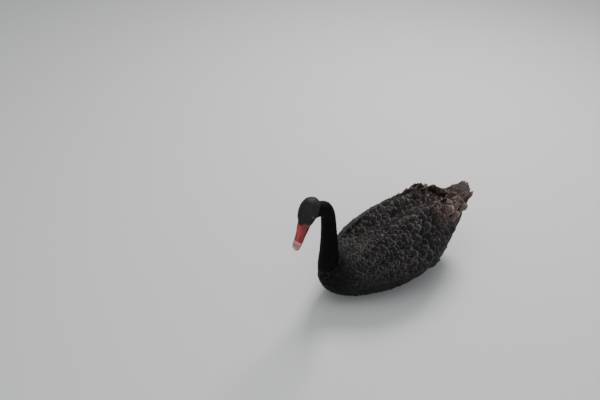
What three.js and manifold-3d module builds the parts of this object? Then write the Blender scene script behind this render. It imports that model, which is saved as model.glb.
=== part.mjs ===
// A black swan at rest: a still, life-size model of the whole bird.
// Millimetres, +Z up.  The bird faces -Y, its left side is +X, and its belly,
// soles and shanks lie on the floor, z = 0.
//
// Every flesh part is a loft through a few measured stations.  A station table
// gives the outline at that place; a smooth curve joins the stations.

import * as THREE from 'three';
import Module from 'manifold-3d';
import { mergeVertices } from 'three/addons/utils/BufferGeometryUtils.js';

const wasm = await Module();
wasm.setup();

// ---------------------------------------------------------------- dimensions
const GAP = 0.3;                 // clearance between touching pieces
const ORIGIN_SHIFT = [0, 58.79];  // puts the middle of the whole box over x = y = 0

// Trunk: y, half width, height of the widest line, back, belly
const TRUNK_FULLNESS = 2.2;      // section exponent, 2 = ellipse
const TRUNK = [
  [-291, 0, 108, 108, 108],
  [-276, 32, 106, 140, 64],
  [-250, 55, 104, 158, 34],
  [-200, 77, 102, 170, 8],
  [-130, 104, 100, 184, -3],
  [-50, 120, 100, 196, -4],
  [30, 116, 102, 197, -4],
  [95, 99, 108, 194, 4],
  [150, 80, 119, 189, 24],
  [200, 58, 136, 184, 54],
  [245, 36, 152, 180, 98],
  [276, 0, 164, 164, 164],
];

// Neck centre line: t, x, y, z, radius across, radius fore and aft
const NECK = [
  [0.00, 0, -226, 66, 40, 42],
  [0.10, 0, -246, 104, 36, 39],
  [0.20, 0, -260, 142, 31, 33],
  [0.34, 0, -264, 200, 27, 28],
  [0.50, 1, -270, 262, 23, 24],
  [0.66, 3, -279, 322, 20.5, 21.5],
  [0.78, 5, -287, 348, 20, 21],
  [0.88, 6, -301, 366, 20.5, 21.5],
  [0.95, 7, -322, 372, 21, 22],
  [1.00, 6, -342, 369, 21, 21],
];
const NECK_CUTS = [0.27, 0.60];  // where the neck is parted into three lengths

// Head: distance forward of the bill base, half width, crown, throat
const HEAD_AT = [15, -371.5, 341];
const HEAD_PITCH = 62;           // degrees the bill points below level
const HEAD_YAW = 17;             // degrees the head turns to its left
const HEAD = [
  [-82, 0, 2, 2],
  [-76, 15, 18, -14],
  [-62, 23, 27.5, -24],
  [-44, 26, 31, -29],
  [-26, 23.5, 28.5, -26],
  [-10, 19, 22.5, -21.5],
  [3, 15.5, 16.5, -17.5],
];
const EYE = { forward: -35, side: 23.1, up: 7, radius: 5.4 };

// Bill, from its base to the nail: distance forward, half width, top, bottom
const BILL_UPPER = [
  [-3, 15.2, 18.0, -8.5],
  [8, 14.2, 15.5, -8.5],
  [22, 13.0, 10.5, -8.0],
  [38, 12.3, 6.2, -7.4],
  [54, 12.8, 3.6, -7.2],
  [66, 11.0, 1.6, -7.6],
  [73.5, 0, -5.6, -8.2],
];
const BILL_LOWER = [
  [-3, 13.2, -9.0, -16.5],
  [10, 12.4, -9.0, -15.4],
  [28, 11.2, -8.4, -13.4],
  [46, 10.8, -7.9, -12.0],
  [60, 9.6, -7.7, -11.2],
  [69, 0, -8.3, -9.4],
];

// Folded wing: y, centre x, centre z, half height, half thickness, lean (degrees
// of the long axis from level; its upper end leans over the back)
const WING_FULLNESS = 2.15;
const WING = [
  [-226, 68, 128, 0, 0, 70],
  [-206, 72, 127, 26, 13, 70],
  [-160, 74, 136, 47, 21, 70],
  [-115, 79, 151, 67, 26, 66],
  [-60, 83, 164, 83, 27, 64],
  [0, 85, 169, 88, 27, 64],
  [60, 83, 174.5, 89, 25, 65],
  [105, 73, 181, 75, 21, 67],
  [145, 62, 190, 52, 17, 66],
  [180, 51, 197, 28, 12, 62],
  [205, 44, 201, 14, 8, 60],
  [226, 40, 204, 0, 0, 60],
];

// Raised, curled inner flight feathers on the rear of each wing:
// root x, y, z; length; width; rise of the shaft (degrees above level);
// outward turn (degrees); curl over its length (degrees)
const TERTIALS = [
  [50, 40, 228, 74, 34, 14, 4, 36],
  [56, 70, 216, 84, 36, 12, 10, 40],
  [45, 78, 228, 90, 36, 8, -2, 26],
  [60, 100, 200, 86, 38, 8, 14, 30],
  [46, 118, 214, 92, 38, 4, 2, 24],
  [44, 146, 202, 100, 40, 3, 2, 14],
];
const VANE_THICK = 3.2;

// White flight feathers that show below the curled ones
const PRIMARY = { root: [60, 96, 158], tip: [38, 236, 182], width: 28, thick: 7 };

// Mantle: the shoulder feathers that fill the back between the wings: y, half
// width, height of its middle, top, bottom. Its upper side sinks to a shallow
// valley along the midline.
const MANTLE = [
  [-215, 0, 150, 150, 150],
  [-200, 40, 140, 162, 128],
  [-160, 56, 142, 182, 122],
  [-115, 58, 158, 219, 130],
  [-60, 56, 175, 247, 130],
  [0, 55, 180, 257, 130],
  [60, 54, 185, 265, 130],
  [105, 52, 185, 259, 135],
  [145, 47, 185, 243, 145],
  [180, 36, 185, 222, 160],
  [204, 0, 188, 188, 188],
];
const MANTLE_FULLNESS = 4, MANTLE_DIP = 0.5;

// Tail fan: y, half width, height of its middle, half thickness
const TAIL = [
  [180, 0, 180, 0],
  [196, 26, 184, 15],
  [228, 36, 197, 13],
  [256, 41, 213, 9],
  [274, 36, 226, 6],
  [286, 0, 235, 0],
];
const TAIL_ARCH = 10;            // the fan's edges hang this much lower

// Leg: shank laid along the floor, foot folded forward beneath the flank
const HEEL = [57, 94], ANKLE = [60, 2];
const SHANK = { across: 6.2, high: 6.8 };
const THIGH = { from: [50, 56, 44], knee: [56, 90, 21], radius: 10 };  // lower thigh, from the belly to the heel
const TOES = [                   // length, turn from straight ahead, radius
  [70, 10, 4.4],
  [88, -4, 4.8],
  [78, -18, 4.4],
];
const WEB_HIGH = 2.6;
const CLAW = { long: 11, radius: 2.6 };

// Colours
const PLUME_BLACK = 0x1d1b1b, PLUME_BROWN = 0x3e3430, PLUME_WHITE = 0xe6e4df;
const BILL_RED = 0xa8202a, LEG_GREY = 0x2b2a2b, EYE_RED = 0x5a1712;

// ------------------------------------------------------------------- tools
const rad = THREE.MathUtils.degToRad;
const sgnPow = (c, p) => Math.sign(c) * Math.pow(Math.abs(c), p);

// A smooth curve through one column of a station table.
function column(rows, k, f = (v) => v) {
  const t = rows.map((r) => r[0]), v = rows.map((r) => f(r[k], r)), n = t.length;
  const d = [];
  for (let i = 0; i < n - 1; i++) d.push((v[i + 1] - v[i]) / (t[i + 1] - t[i]));
  const m = v.map((_, i) => {
    if (i === 0) return d[0];
    if (i === n - 1) return d[n - 2];
    const h0 = t[i] - t[i - 1], h1 = t[i + 1] - t[i];
    return (d[i - 1] * h1 + d[i] * h0) / (h0 + h1);
  });
  return (x) => {
    const q = THREE.MathUtils.clamp(x, t[0], t[n - 1]);
    let i = 0;
    while (i < n - 2 && q >= t[i + 1]) i++;
    const h = t[i + 1] - t[i], s = (q - t[i]) / h;
    return (2 * s ** 3 - 3 * s * s + 1) * v[i] + (s ** 3 - 2 * s * s + s) * h * m[i]
      + (-2 * s ** 3 + 3 * s * s) * v[i + 1] + (s ** 3 - s * s) * h * m[i + 1];
  };
}
// The same for a size: its square is interpolated, so that ends close round.
const size = (rows, f) => {
  const g = column(rows, 0, (_, r) => f(r) ** 2);
  return (x) => Math.sqrt(Math.max(g(x), 0));
};

// A closed skin over rings of points, with a point or a flat cap at each end.
function loft(ring, rings, sides) {
  const p = [], idx = [];
  const all = [];
  for (let i = 0; i <= rings; i++) {
    const row = [];
    for (let j = 0; j < sides; j++) row.push(ring(i / rings, 2 * Math.PI * j / sides));
    all.push(row);
  }
  const middle = (row) => row.reduce((a, b) => a.add(b), new THREE.Vector3()).divideScalar(row.length);
  const start = middle(all[0]), end = middle(all[rings]);
  const live = all.filter((row) => row.some((q) => q.distanceTo(row[0]) > 1e-3));
  for (const row of live) for (const q of row) p.push(q.x, q.y, q.z);
  const a = p.length / 3; p.push(start.x, start.y, start.z, end.x, end.y, end.z);
  const m = live.length;
  for (let i = 0; i < m - 1; i++) for (let j = 0; j < sides; j++) {
    const k = (j + 1) % sides, A = i * sides + j, B = i * sides + k, C = A + sides, D = B + sides;
    idx.push(A, B, C, B, D, C);
  }
  for (let j = 0; j < sides; j++) {
    const k = (j + 1) % sides;
    idx.push(a, k, j, a + 1, (m - 1) * sides + j, (m - 1) * sides + k);
  }
  const g = new THREE.BufferGeometry();
  g.setAttribute('position', new THREE.Float32BufferAttribute(p, 3));
  g.setIndex(idx);
  return solid(g);
}

// A three.js geometry as a closed solid that can be joined and cut.
function solid(geometry) {
  let g = geometry.clone();
  for (const name of Object.keys(g.attributes)) if (name !== 'position') g.deleteAttribute(name);
  g = mergeVertices(g, 1e-5);
  const v = Float32Array.from(g.attributes.position.array), t = Uint32Array.from(g.index.array);
  let six = 0;
  const A = new THREE.Vector3(), B = new THREE.Vector3(), C = new THREE.Vector3();
  for (let i = 0; i < t.length; i += 3) {
    A.fromArray(v, 3 * t[i]); B.fromArray(v, 3 * t[i + 1]); C.fromArray(v, 3 * t[i + 2]);
    six += A.dot(B.cross(C));
  }
  if (six < 0) for (let i = 0; i < t.length; i += 3) { const s = t[i + 1]; t[i + 1] = t[i + 2]; t[i + 2] = s; }
  return new wasm.Manifold(new wasm.Mesh({ numProp: 3, vertProperties: v, triVerts: t }));
}

function geometryOf(body) {
  const m = body.getMesh();
  const g = new THREE.BufferGeometry();
  g.setAttribute('position', new THREE.BufferAttribute(Float32Array.from(m.vertProperties), 3));
  g.setIndex(new THREE.BufferAttribute(Uint32Array.from(m.triVerts), 1));
  g.computeVertexNormals();
  return g;
}

function boxAt(x0, y0, z0, x1, y1, z1) {
  const g = new THREE.BoxGeometry(x1 - x0, y1 - y0, z1 - z0);
  g.translate((x0 + x1) / 2, (y0 + y1) / 2, (z0 + z1) / 2);
  return solid(g);
}
const aboveFloor = (body) => body.intersect(boxAt(-600, -700, 0, 600, 700, 900));
const joined = (list) => list.slice(1).reduce((a, b) => a.add(b), list[0]);
// The one real body of a cut, without slivers left beside it.
function largest(body) {
  const parts = body.decompose();
  return parts.sort((a, b) => b.volume() - a.volume())[0];
}

// -------------------------------------------------------------------- trunk
const easeEnds = (u) => (1 - Math.cos(Math.PI * u)) / 2;

function bodySolid(rows, fullness, dip, grow, rings, sides) {
  const w = size(rows, (r) => r[1]), mid = column(rows, 2);
  const up = size(rows, (r) => r[3] - r[2]), down = size(rows, (r) => r[2] - r[4]);
  const y0 = rows[0][0], y1 = rows.at(-1)[0];
  return loft((u, a) => {
    const y = y0 + (y1 - y0) * easeEnds(u), end = u === 0 || u === 1 ? 0 : 1;
    const s = Math.sin(a), h = (s > 0 ? up(y) : down(y)) + grow * end;
    const k = sgnPow(Math.cos(a), 2 / fullness), sunk = s > 0 ? dip * up(y) * (1 - k * k) ** 2 : 0;
    return new THREE.Vector3(
      (w(y) + grow * end) * k,
      y + (u === 0 ? -grow : u === 1 ? grow : 0),
      mid(y) + h * sgnPow(s, 2 / fullness) - sunk);
  }, rings, sides);
}
const trunkSolid = (grow) => bodySolid(TRUNK, TRUNK_FULLNESS, 0, grow, 28, 30)
  .add(bodySolid(MANTLE, MANTLE_FULLNESS, MANTLE_DIP, grow, 18, 24));

// --------------------------------------------------------------------- neck
// A solid swept along a centre line from t0 to t1, with flat ends.
function neckSolid(t0, t1, grow, rings, sides = 18) {
  const x = column(NECK, 1), y = column(NECK, 2), z = column(NECK, 3);
  const across = size(NECK, (r) => r[4]), fore = size(NECK, (r) => r[5]);
  const at = (t) => new THREE.Vector3(x(t), y(t), z(t));
  return loft((u, a) => {
    const t = t0 + (t1 - t0) * u;
    const T = at(Math.min(t + 1e-3, 1)).sub(at(Math.max(t - 1e-3, 0))).normalize();
    const U = new THREE.Vector3(1, 0, 0).addScaledVector(T, -T.x).normalize();
    const V = new THREE.Vector3().crossVectors(T, U);
    return at(t).addScaledVector(T, u === 0 ? -grow : u === 1 ? grow : 0)
      .addScaledVector(U, (across(t) + grow) * Math.cos(a))
      .addScaledVector(V, (fore(t) + grow) * Math.sin(a));
  }, rings, sides);
}

// ------------------------------------------------------------- head and bill
const headAxes = (() => {
  const p = rad(HEAD_PITCH), q = rad(HEAD_YAW);
  const F = new THREE.Vector3(Math.sin(q) * Math.cos(p), -Math.cos(q) * Math.cos(p), -Math.sin(p));
  const L = new THREE.Vector3(Math.cos(q), Math.sin(q), 0);
  const U = new THREE.Vector3().crossVectors(F, L);
  return { F, L, U, O: new THREE.Vector3(...HEAD_AT) };
})();
function inHead(f, l, u) {
  const { F, L, U, O } = headAxes;
  return O.clone().addScaledVector(F, f).addScaledVector(L, l).addScaledVector(U, u);
}
function headLoft(rows, grow, rings, sides, fullness = 2.1) {
  const w = size(rows, (r) => r[1]), top = column(rows, 2), bottom = column(rows, 3);
  const f0 = rows[0][0], f1 = rows.at(-1)[0];
  return loft((u, a) => {
    const f = f0 + (f1 - f0) * u;
    const mid = (top(f) + bottom(f)) / 2, half = (top(f) - bottom(f)) / 2;
    const live = w(f) < 0.01 ? 0 : 1;
    return inHead(f + (u === 0 ? -grow : u === 1 ? grow : 0),
      live * (w(f) + grow) * sgnPow(Math.cos(a), 2 / fullness),
      mid + live * (half + grow) * sgnPow(Math.sin(a), 2 / fullness));
  }, rings, sides);
}

// -------------------------------------------------------------------- wings
function wingSolid(side, grow, rings = 20, sides = 16) {
  const cx = column(WING, 1), cz = column(WING, 2), lean = column(WING, 5);
  const half = size(WING, (r) => r[3]), thick = size(WING, (r) => r[4]);
  const y0 = WING[0][0], y1 = WING.at(-1)[0];
  return loft((u, a) => {
    const y = y0 + (y1 - y0) * easeEnds(u), end = u === 0 || u === 1 ? 0 : 1, q = rad(lean(y));
    const A = (half(y) + grow * end) * sgnPow(Math.cos(a), 2 / WING_FULLNESS);
    const k = half(y) > 0.01 ? sgnPow(Math.cos(a), 2 / WING_FULLNESS) : 0;
    const B = (thick(y) * (1 - 0.42 * k - 0.26 * k * k) + grow * end) * sgnPow(Math.sin(a), 2 / WING_FULLNESS);
    return new THREE.Vector3(
      side * (cx(y) - A * Math.cos(q) + B * Math.sin(q)),
      y + (u === 0 ? -grow : u === 1 ? grow : 0),
      cz(y) + A * Math.sin(q) + B * Math.cos(q));
  }, rings, sides);
}

// One feather blade: a flat lens swept along a shaft that curls upward.
function blade(side, [x, y, z, long, wide, rise, turn, curl], grow = 0, steps = 7, sides = 8) {
  const q = rad(turn), line = [new THREE.Vector3(x * side, y, z)];
  const tangents = [];
  for (let i = 0; i <= steps; i++) {
    const e = rad(rise + curl * (i / steps) ** 2);
    tangents.push(new THREE.Vector3(side * Math.sin(q) * Math.cos(e), Math.cos(q) * Math.cos(e), Math.sin(e)));
    if (i < steps) line.push(line[i].clone().addScaledVector(tangents[i], long / steps));
  }
  return loft((u, a) => {
    const k = Math.round(u * steps), T = tangents[k];
    const U = new THREE.Vector3(Math.cos(q), -side * Math.sin(q), 0).normalize();
    const N = new THREE.Vector3().crossVectors(T, U).normalize();
    if (N.z < 0) N.negate();
    const shape = Math.sqrt(Math.max(0, 1 - (2 * Math.max(u, 0.04) - 1) ** 4)) * (0.62 + 0.38 * u);
    const w = u === 0 || u === 1 ? 0 : wide / 2 * shape + grow, h = w === 0 ? 0 : VANE_THICK / 2 + grow;
    const c = Math.cos(a);
    return line[k].clone().addScaledVector(U, w * c)
      .addScaledVector(N, h * Math.sin(a) - 0.10 * w * c * c);
  }, steps, sides);
}

function primarySolid(side, grow, rings = 8, sides = 8) {
  const { root, tip, width, thick } = PRIMARY;
  const A = new THREE.Vector3(root[0] * side, root[1], root[2]), B = new THREE.Vector3(tip[0] * side, tip[1], tip[2]);
  const T = B.clone().sub(A).normalize();
  const U = new THREE.Vector3(0.35 * side, 0, -0.94).addScaledVector(T, 0);
  U.addScaledVector(T, -U.dot(T)).normalize();
  const N = new THREE.Vector3().crossVectors(T, U);
  return loft((u, a) => {
    const s = u === 0 || u === 1 ? 0 : Math.sqrt(1 - (2 * u - 1) ** 6);
    const w = s === 0 ? 0 : s * width / 2 * (1 - 0.35 * u) + grow, h = s === 0 ? 0 : thick / 2 * (1 - 0.5 * u) + grow;
    return A.clone().lerp(B, u).addScaledVector(U, w * Math.cos(a)).addScaledVector(N, h * Math.sin(a));
  }, rings, sides);
}

function tailSolid(grow, rings = 12, sides = 20) {
  const w = size(TAIL, (r) => r[1]), mid = column(TAIL, 2), thick = size(TAIL, (r) => r[3]);
  const y0 = TAIL[0][0], y1 = TAIL.at(-1)[0];
  return loft((u, a) => {
    const y = y0 + (y1 - y0) * easeEnds(u), end = u === 0 || u === 1 ? 0 : 1, c = Math.cos(a);
    return new THREE.Vector3(
      (w(y) + grow * end) * c, y,
      mid(y) - end * TAIL_ARCH * c * c * (w(y) / 46) + (thick(y) + grow * end) * sgnPow(Math.sin(a), 0.8));
  }, rings, sides);
}

// --------------------------------------------------------------------- legs
// A rounded bar lying along the floor from one point to another.
function bar(x0, y0, x1, y1, r0, r1, high, grow = 0, rings = 6, sides = 8) {
  const A = new THREE.Vector3(x0, y0, 0), B = new THREE.Vector3(x1, y1, 0);
  const T = B.clone().sub(A), long = T.length(); T.normalize();
  const U = new THREE.Vector3(T.y, -T.x, 0);
  return loft((u, a) => {
    const k = easeEnds(u), s = Math.sqrt(Math.max(0, 1 - Math.pow(Math.abs(2 * k - 1), 8)));
    const r = (r0 + (r1 - r0) * k) * s + (s > 0 ? grow : 0);
    const h = high * (0.35 + 0.65 * s) * r / Math.max(r0, r1);
    return A.clone().addScaledVector(T, long * k + (u === 0 ? -grow : u === 1 ? grow : 0))
      .addScaledVector(U, r * sgnPow(Math.cos(a), 0.85))
      .add(new THREE.Vector3(0, 0, high * 0.82 + (s > 0 ? h : 0) * Math.sin(a)));
  }, rings, sides);
}
function toeEnd(side, [long, turn]) {
  const q = rad(turn);
  return [side * (ANKLE[0] + long * Math.sin(q)), ANKLE[1] - long * Math.cos(q)];
}
// The lower thigh: a tapered limb that leaves the belly and meets the heel.
function thighSolid(side, grow, rings = 6, sides = 10) {
  const [a, b] = [THIGH.from, THIGH.knee];
  const curve = new THREE.CatmullRomCurve3([
    new THREE.Vector3(a[0] * side, a[1], a[2]), new THREE.Vector3(b[0] * side, b[1], b[2]),
    new THREE.Vector3(HEEL[0] * side, HEEL[1] - 5, SHANK.high * 0.9)]);
  return loft((u, q) => {
    const T = curve.getTangent(u), r = THIGH.radius * (1 - 0.45 * u) + grow;
    const U = new THREE.Vector3(1, 0, 0).addScaledVector(T, -T.x).normalize();
    const V = new THREE.Vector3().crossVectors(T, U);
    return curve.getPoint(u).addScaledVector(T, u === 0 ? -grow : u === 1 ? grow : 0)
      .addScaledVector(U, r * Math.cos(q)).addScaledVector(V, r * Math.sin(q));
  }, rings, sides);
}
function shankSolid(side, grow) {
  const shank = thighSolid(side, grow).add(bar(side * HEEL[0], HEEL[1], side * ANKLE[0], ANKLE[1] + 4, SHANK.across * 1.25, SHANK.across, SHANK.high, grow, 8, 10));
  return grow > 0 ? shank : aboveFloor(shank);
}
function footSolid(side, grow) {
  const toes = TOES.map((t) => {
    const [x, y] = toeEnd(side, t);
    return bar(side * ANKLE[0], ANKLE[1], x, y, t[2] * 1.2, t[2] * 0.8, t[2], grow, 5, 8);
  });
  const claws = TOES.map((t) => {
    const [x, y] = toeEnd(side, t), [x2, y2] = toeEnd(side, [t[0] + CLAW.long, t[1]]);
    return bar((x * 0.97) + (x2 * 0.03), y, x2, y2, CLAW.radius, CLAW.radius * 0.45, CLAW.radius, grow, 4, 6);
  });
  // webs: a thin plate with a hollowed front edge between the toes
  const outline = new THREE.Shape();
  outline.moveTo(side * ANKLE[0], ANKLE[1] + grow);
  const tips = TOES.map((t) => toeEnd(side, [t[0] * 0.93, t[1]]));
  outline.lineTo(...tips[0]);
  for (const k of [1, 2]) {
    const [ax, ay] = tips[k - 1], [bx, by] = tips[k];
    const mx = (ax + bx) / 2, my = (ay + by) / 2;
    outline.quadraticCurveTo(mx + (side * ANKLE[0] - mx) * 0.22, my + (ANKLE[1] - my) * 0.22, bx, by);
  }
  outline.closePath();
  const plate = new THREE.ExtrudeGeometry(outline, { depth: WEB_HIGH + grow, bevelEnabled: false, curveSegments: 5 });
  const hind = bar(side * (ANKLE[0] - 6), ANKLE[1] + 4, side * (ANKLE[0] - 19), ANKLE[1] + 15, 2.6, 2.0, 2.4, grow, 4, 6);
  const foot = joined([solid(plate), ...toes, ...claws, hind]);
  return grow > 0 ? foot : aboveFloor(foot);
}

// ----------------------------------------------------------------- assembly
const swan = new THREE.Group();
const colour = {
  black: () => new THREE.MeshStandardMaterial({ color: PLUME_BLACK, roughness: 0.78, metalness: 0 }),
  brown: () => new THREE.MeshStandardMaterial({ color: PLUME_BROWN, roughness: 0.8, metalness: 0 }),
  white: () => new THREE.MeshStandardMaterial({ color: PLUME_WHITE, roughness: 0.75, metalness: 0 }),
  bill: () => new THREE.MeshStandardMaterial({ color: BILL_RED, roughness: 0.35, metalness: 0 }),
  leg: () => new THREE.MeshStandardMaterial({ color: LEG_GREY, roughness: 0.6, metalness: 0 }),
  eye: () => new THREE.MeshStandardMaterial({ color: EYE_RED, roughness: 0.08, metalness: 0 }),
};
function add(name, body, material) {
  const mesh = new THREE.Mesh(geometryOf(largest(body)), material);
  mesh.name = name;
  swan.add(mesh);
}
const each = [['left', 1], ['right', -1]];

// legs and feet, on the floor
const legTools = [];
for (const [name, side] of each) {
  const foot = footSolid(side, 0);
  add(`foot_${name}`, foot, colour.leg());
  add(`leg_${name}`, shankSolid(side, 0).subtract(footSolid(side, GAP)), colour.leg());
  legTools.push(shankSolid(side, GAP), footSolid(side, GAP));
}

// trunk, with the neck's seat and the legs' beds cut into it
const half = GAP / 2 / 420;      // the gap as a share of the centre line
const [c1, c2] = NECK_CUTS;
const neckGrown = neckSolid(0, c1 - half, GAP, 9);
let trunk = aboveFloor(trunkSolid(0)).subtract(neckGrown);
for (const tool of legTools) trunk = trunk.subtract(tool);
add('trunk', trunk, colour.black());
const trunkGrown = trunkSolid(GAP);

// neck in three lengths
const footGrown = joined(legTools);
add('neck_lower', aboveFloor(neckSolid(0, c1 - half, 0, 9)).subtract(footGrown), colour.black());
add('neck_middle', neckSolid(c1 + half, c2 - half, 0, 9), colour.black());
add('neck_upper', neckSolid(c2 + half, 1, 0, 12), colour.black());

// head, eyes and bill
const eyes = each.map(([name, side]) => {
  const ball = (r) => {
    const g = new THREE.SphereGeometry(r, 12, 8);
    const c = inHead(EYE.forward, side * (EYE.side - EYE.radius * 0.55), EYE.up);
    g.translate(c.x, c.y, c.z);
    return solid(g);
  };
  return { name, body: ball(EYE.radius), grown: ball(EYE.radius + GAP) };
});
const billUpper = headLoft(BILL_UPPER, 0, 12, 20, 2.3), billLower = headLoft(BILL_LOWER, 0, 10, 18, 2.3);
let head = headLoft(HEAD, 0, 14, 20)
  .subtract(neckSolid(c2 + half, 1, GAP, 12))
  .subtract(headLoft(BILL_UPPER, GAP, 12, 20, 2.3))
  .subtract(headLoft(BILL_LOWER, GAP, 10, 18, 2.3));
for (const e of eyes) head = head.subtract(e.grown);
add('head', head, colour.black());
for (const e of eyes) add(`eye_${e.name}`, e.body, colour.eye());
add('bill_upper', billUpper, colour.bill());
add('bill_lower', billLower, colour.bill());

// wings with their curled feathers, the white flight feathers, and the tail
const tail = tailSolid(0).subtract(trunkGrown);
const tailTools = [];
for (const [name, side] of each) {
  const curls = (grow) => joined(TERTIALS.map((t) => blade(side, t, grow)));
  const halfSpace = boxAt(side > 0 ? GAP / 2 : -400, -500, 0, side > 0 ? 400 : -GAP / 2, 500, 600);
  add(`wing_${name}`, wingSolid(side, 0).add(curls(0)).subtract(trunkGrown).subtract(neckGrown).intersect(halfSpace), colour.black());
  const wingGrown = wingSolid(side, GAP).add(curls(GAP));
  add(`primaries_${name}`, primarySolid(side, 0).subtract(wingGrown).subtract(trunkGrown), colour.white());
  tailTools.push(wingGrown, primarySolid(side, GAP));
}
add('tail', tailTools.reduce((a, b) => a.subtract(b), tail), colour.brown());

swan.position.set(ORIGIN_SHIFT[0], ORIGIN_SHIFT[1], 0);
export default swan;
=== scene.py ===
import math, random
import bpy
import numpy as np
from mathutils import Matrix, Vector
from mathutils.bvhtree import BVHTree


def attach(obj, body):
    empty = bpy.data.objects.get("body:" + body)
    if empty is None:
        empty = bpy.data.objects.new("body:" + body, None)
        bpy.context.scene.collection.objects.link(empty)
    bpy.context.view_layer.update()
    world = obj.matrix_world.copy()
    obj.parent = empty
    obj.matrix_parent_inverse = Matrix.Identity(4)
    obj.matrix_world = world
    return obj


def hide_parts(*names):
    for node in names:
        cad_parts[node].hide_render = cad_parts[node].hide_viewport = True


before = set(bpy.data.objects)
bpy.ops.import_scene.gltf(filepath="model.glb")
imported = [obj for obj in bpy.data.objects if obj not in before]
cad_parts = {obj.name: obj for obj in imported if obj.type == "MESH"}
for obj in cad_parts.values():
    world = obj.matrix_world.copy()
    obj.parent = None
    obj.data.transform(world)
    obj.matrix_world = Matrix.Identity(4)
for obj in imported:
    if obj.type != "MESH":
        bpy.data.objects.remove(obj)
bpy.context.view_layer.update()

rng = np.random.default_rng(587)
random.seed(587)
SHIFT = np.array([0.0, 58.79, 0.0])          # the same shift as the solids, in mm
scene = bpy.context.scene

# ------------------------------------------------------------------ stations
TRUNK_N = 2.2
TRUNK = np.array([
    (-291, 0, 108, 108, 108), (-276, 32, 106, 140, 64), (-250, 55, 104, 158, 34), (-200, 77, 102, 170, 8),
    (-130, 104, 100, 184, -3), (-50, 120, 100, 196, -4), (30, 116, 102, 197, -4), (95, 99, 108, 194, 4),
    (150, 80, 119, 189, 24), (200, 58, 136, 184, 54), (245, 36, 152, 180, 98), (276, 0, 164, 164, 164)], float)
NECK = np.array([
    (0.00, 0, -226, 66, 40, 42), (0.10, 0, -246, 104, 36, 39), (0.20, 0, -260, 142, 31, 33), (0.34, 0, -264, 200, 27, 28),
    (0.50, 1, -270, 262, 23, 24), (0.66, 3, -279, 322, 20.5, 21.5), (0.78, 5, -287, 348, 20, 21),
    (0.88, 6, -301, 366, 20.5, 21.5), (0.95, 7, -322, 372, 21, 22), (1.00, 6, -342, 369, 21, 21)], float)
MANTLE = np.array([
    (-215, 0, 150, 150, 150), (-200, 40, 140, 162, 128), (-160, 56, 142, 182, 122), (-115, 58, 158, 219, 130),
    (-60, 56, 175, 247, 130), (0, 55, 180, 257, 130), (60, 54, 185, 265, 130), (105, 52, 185, 259, 135),
    (145, 47, 185, 243, 145), (180, 36, 185, 222, 160), (204, 0, 188, 188, 188)], float)
HEAD_AT = np.array([15, -371.5, 341.0]); HEAD_PITCH = 62; HEAD_YAW = 17
HEAD = np.array([(-82, 0, 2, 2), (-76, 15, 18, -14), (-62, 23, 27.5, -24), (-44, 26, 31, -29), (-26, 23.5, 28.5, -26),
                 (-10, 19, 22.5, -21.5), (3, 15.5, 16.5, -17.5)], float)
EYE = dict(forward=-35, side=23.1, up=7, radius=5.4)
BILL_UPPER = np.array([(-3, 15.2, 18.0, -8.5), (8, 14.2, 15.5, -8.5), (22, 13.0, 10.5, -8.0), (38, 12.3, 6.2, -7.4),
                       (54, 12.8, 3.6, -7.2), (66, 11.0, 1.6, -7.6), (73.5, 0, -5.6, -8.2)], float)
BILL_LOWER = np.array([(-3, 13.2, -9.0, -16.5), (10, 12.4, -9.0, -15.4), (28, 11.2, -8.4, -13.4), (46, 10.8, -7.9, -12.0),
                       (60, 9.6, -7.7, -11.2), (69, 0, -8.3, -9.4)], float)
WING_N = 2.15
WING = np.array([
    (-226, 68, 128, 0, 0, 70), (-206, 72, 127, 26, 13, 70), (-160, 74, 136, 47, 21, 70), (-115, 79, 151, 67, 26, 66),
    (-60, 83, 164, 83, 27, 64), (0, 85, 169, 88, 27, 64), (60, 83, 174.5, 89, 25, 65), (105, 73, 181, 75, 21, 67),
    (145, 62, 190, 52, 17, 66), (180, 51, 197, 28, 12, 62), (205, 44, 201, 14, 8, 60), (226, 40, 204, 0, 0, 60)], float)
TERTIALS = [
    (50, 40, 228, 74, 34, 14, 4, 36), (56, 70, 216, 84, 36, 12, 10, 40), (45, 78, 228, 90, 36, 8, -2, 26),
    (60, 100, 200, 86, 38, 8, 14, 30), (46, 118, 214, 92, 38, 4, 2, 24), (44, 146, 202, 100, 40, 3, 2, 14)]
PRIMARY_ROOT, PRIMARY_TIP = np.array([60, 96, 158.0]), np.array([38, 236, 182.0])
TAIL = np.array([(180, 0, 180, 0), (196, 26, 184, 15), (228, 36, 197, 13), (256, 41, 213, 9), (274, 36, 226, 6), (286, 0, 235, 0)], float)
TAIL_ARCH = 10


def column(rows, v):
    t, v = rows[:, 0], np.asarray(v, float)
    d = (v[1:] - v[:-1]) / (t[1:] - t[:-1])
    m = np.zeros(len(t)); m[0], m[-1] = d[0], d[-1]
    for i in range(1, len(t) - 1):
        h0, h1 = t[i] - t[i - 1], t[i + 1] - t[i]
        m[i] = (d[i - 1] * h1 + d[i] * h0) / (h0 + h1)

    def f(x):
        x = np.clip(np.asarray(x, float), t[0], t[-1])
        i = np.clip(np.searchsorted(t, x, side='right') - 1, 0, len(t) - 2)
        h = t[i + 1] - t[i]; s = (x - t[i]) / h
        return ((2 * s**3 - 3 * s**2 + 1) * v[i] + (s**3 - 2 * s**2 + s) * h * m[i]
                + (-2 * s**3 + 3 * s**2) * v[i + 1] + (s**3 - s**2) * h * m[i + 1])
    return f


def size(rows, v):
    g = column(rows, np.asarray(v, float) ** 2)
    return lambda x: np.sqrt(np.maximum(g(x), 0))


def spow(c, p): return np.sign(c) * np.abs(c) ** p


def ease(u): return (1 - np.cos(np.pi * u)) / 2


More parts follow.
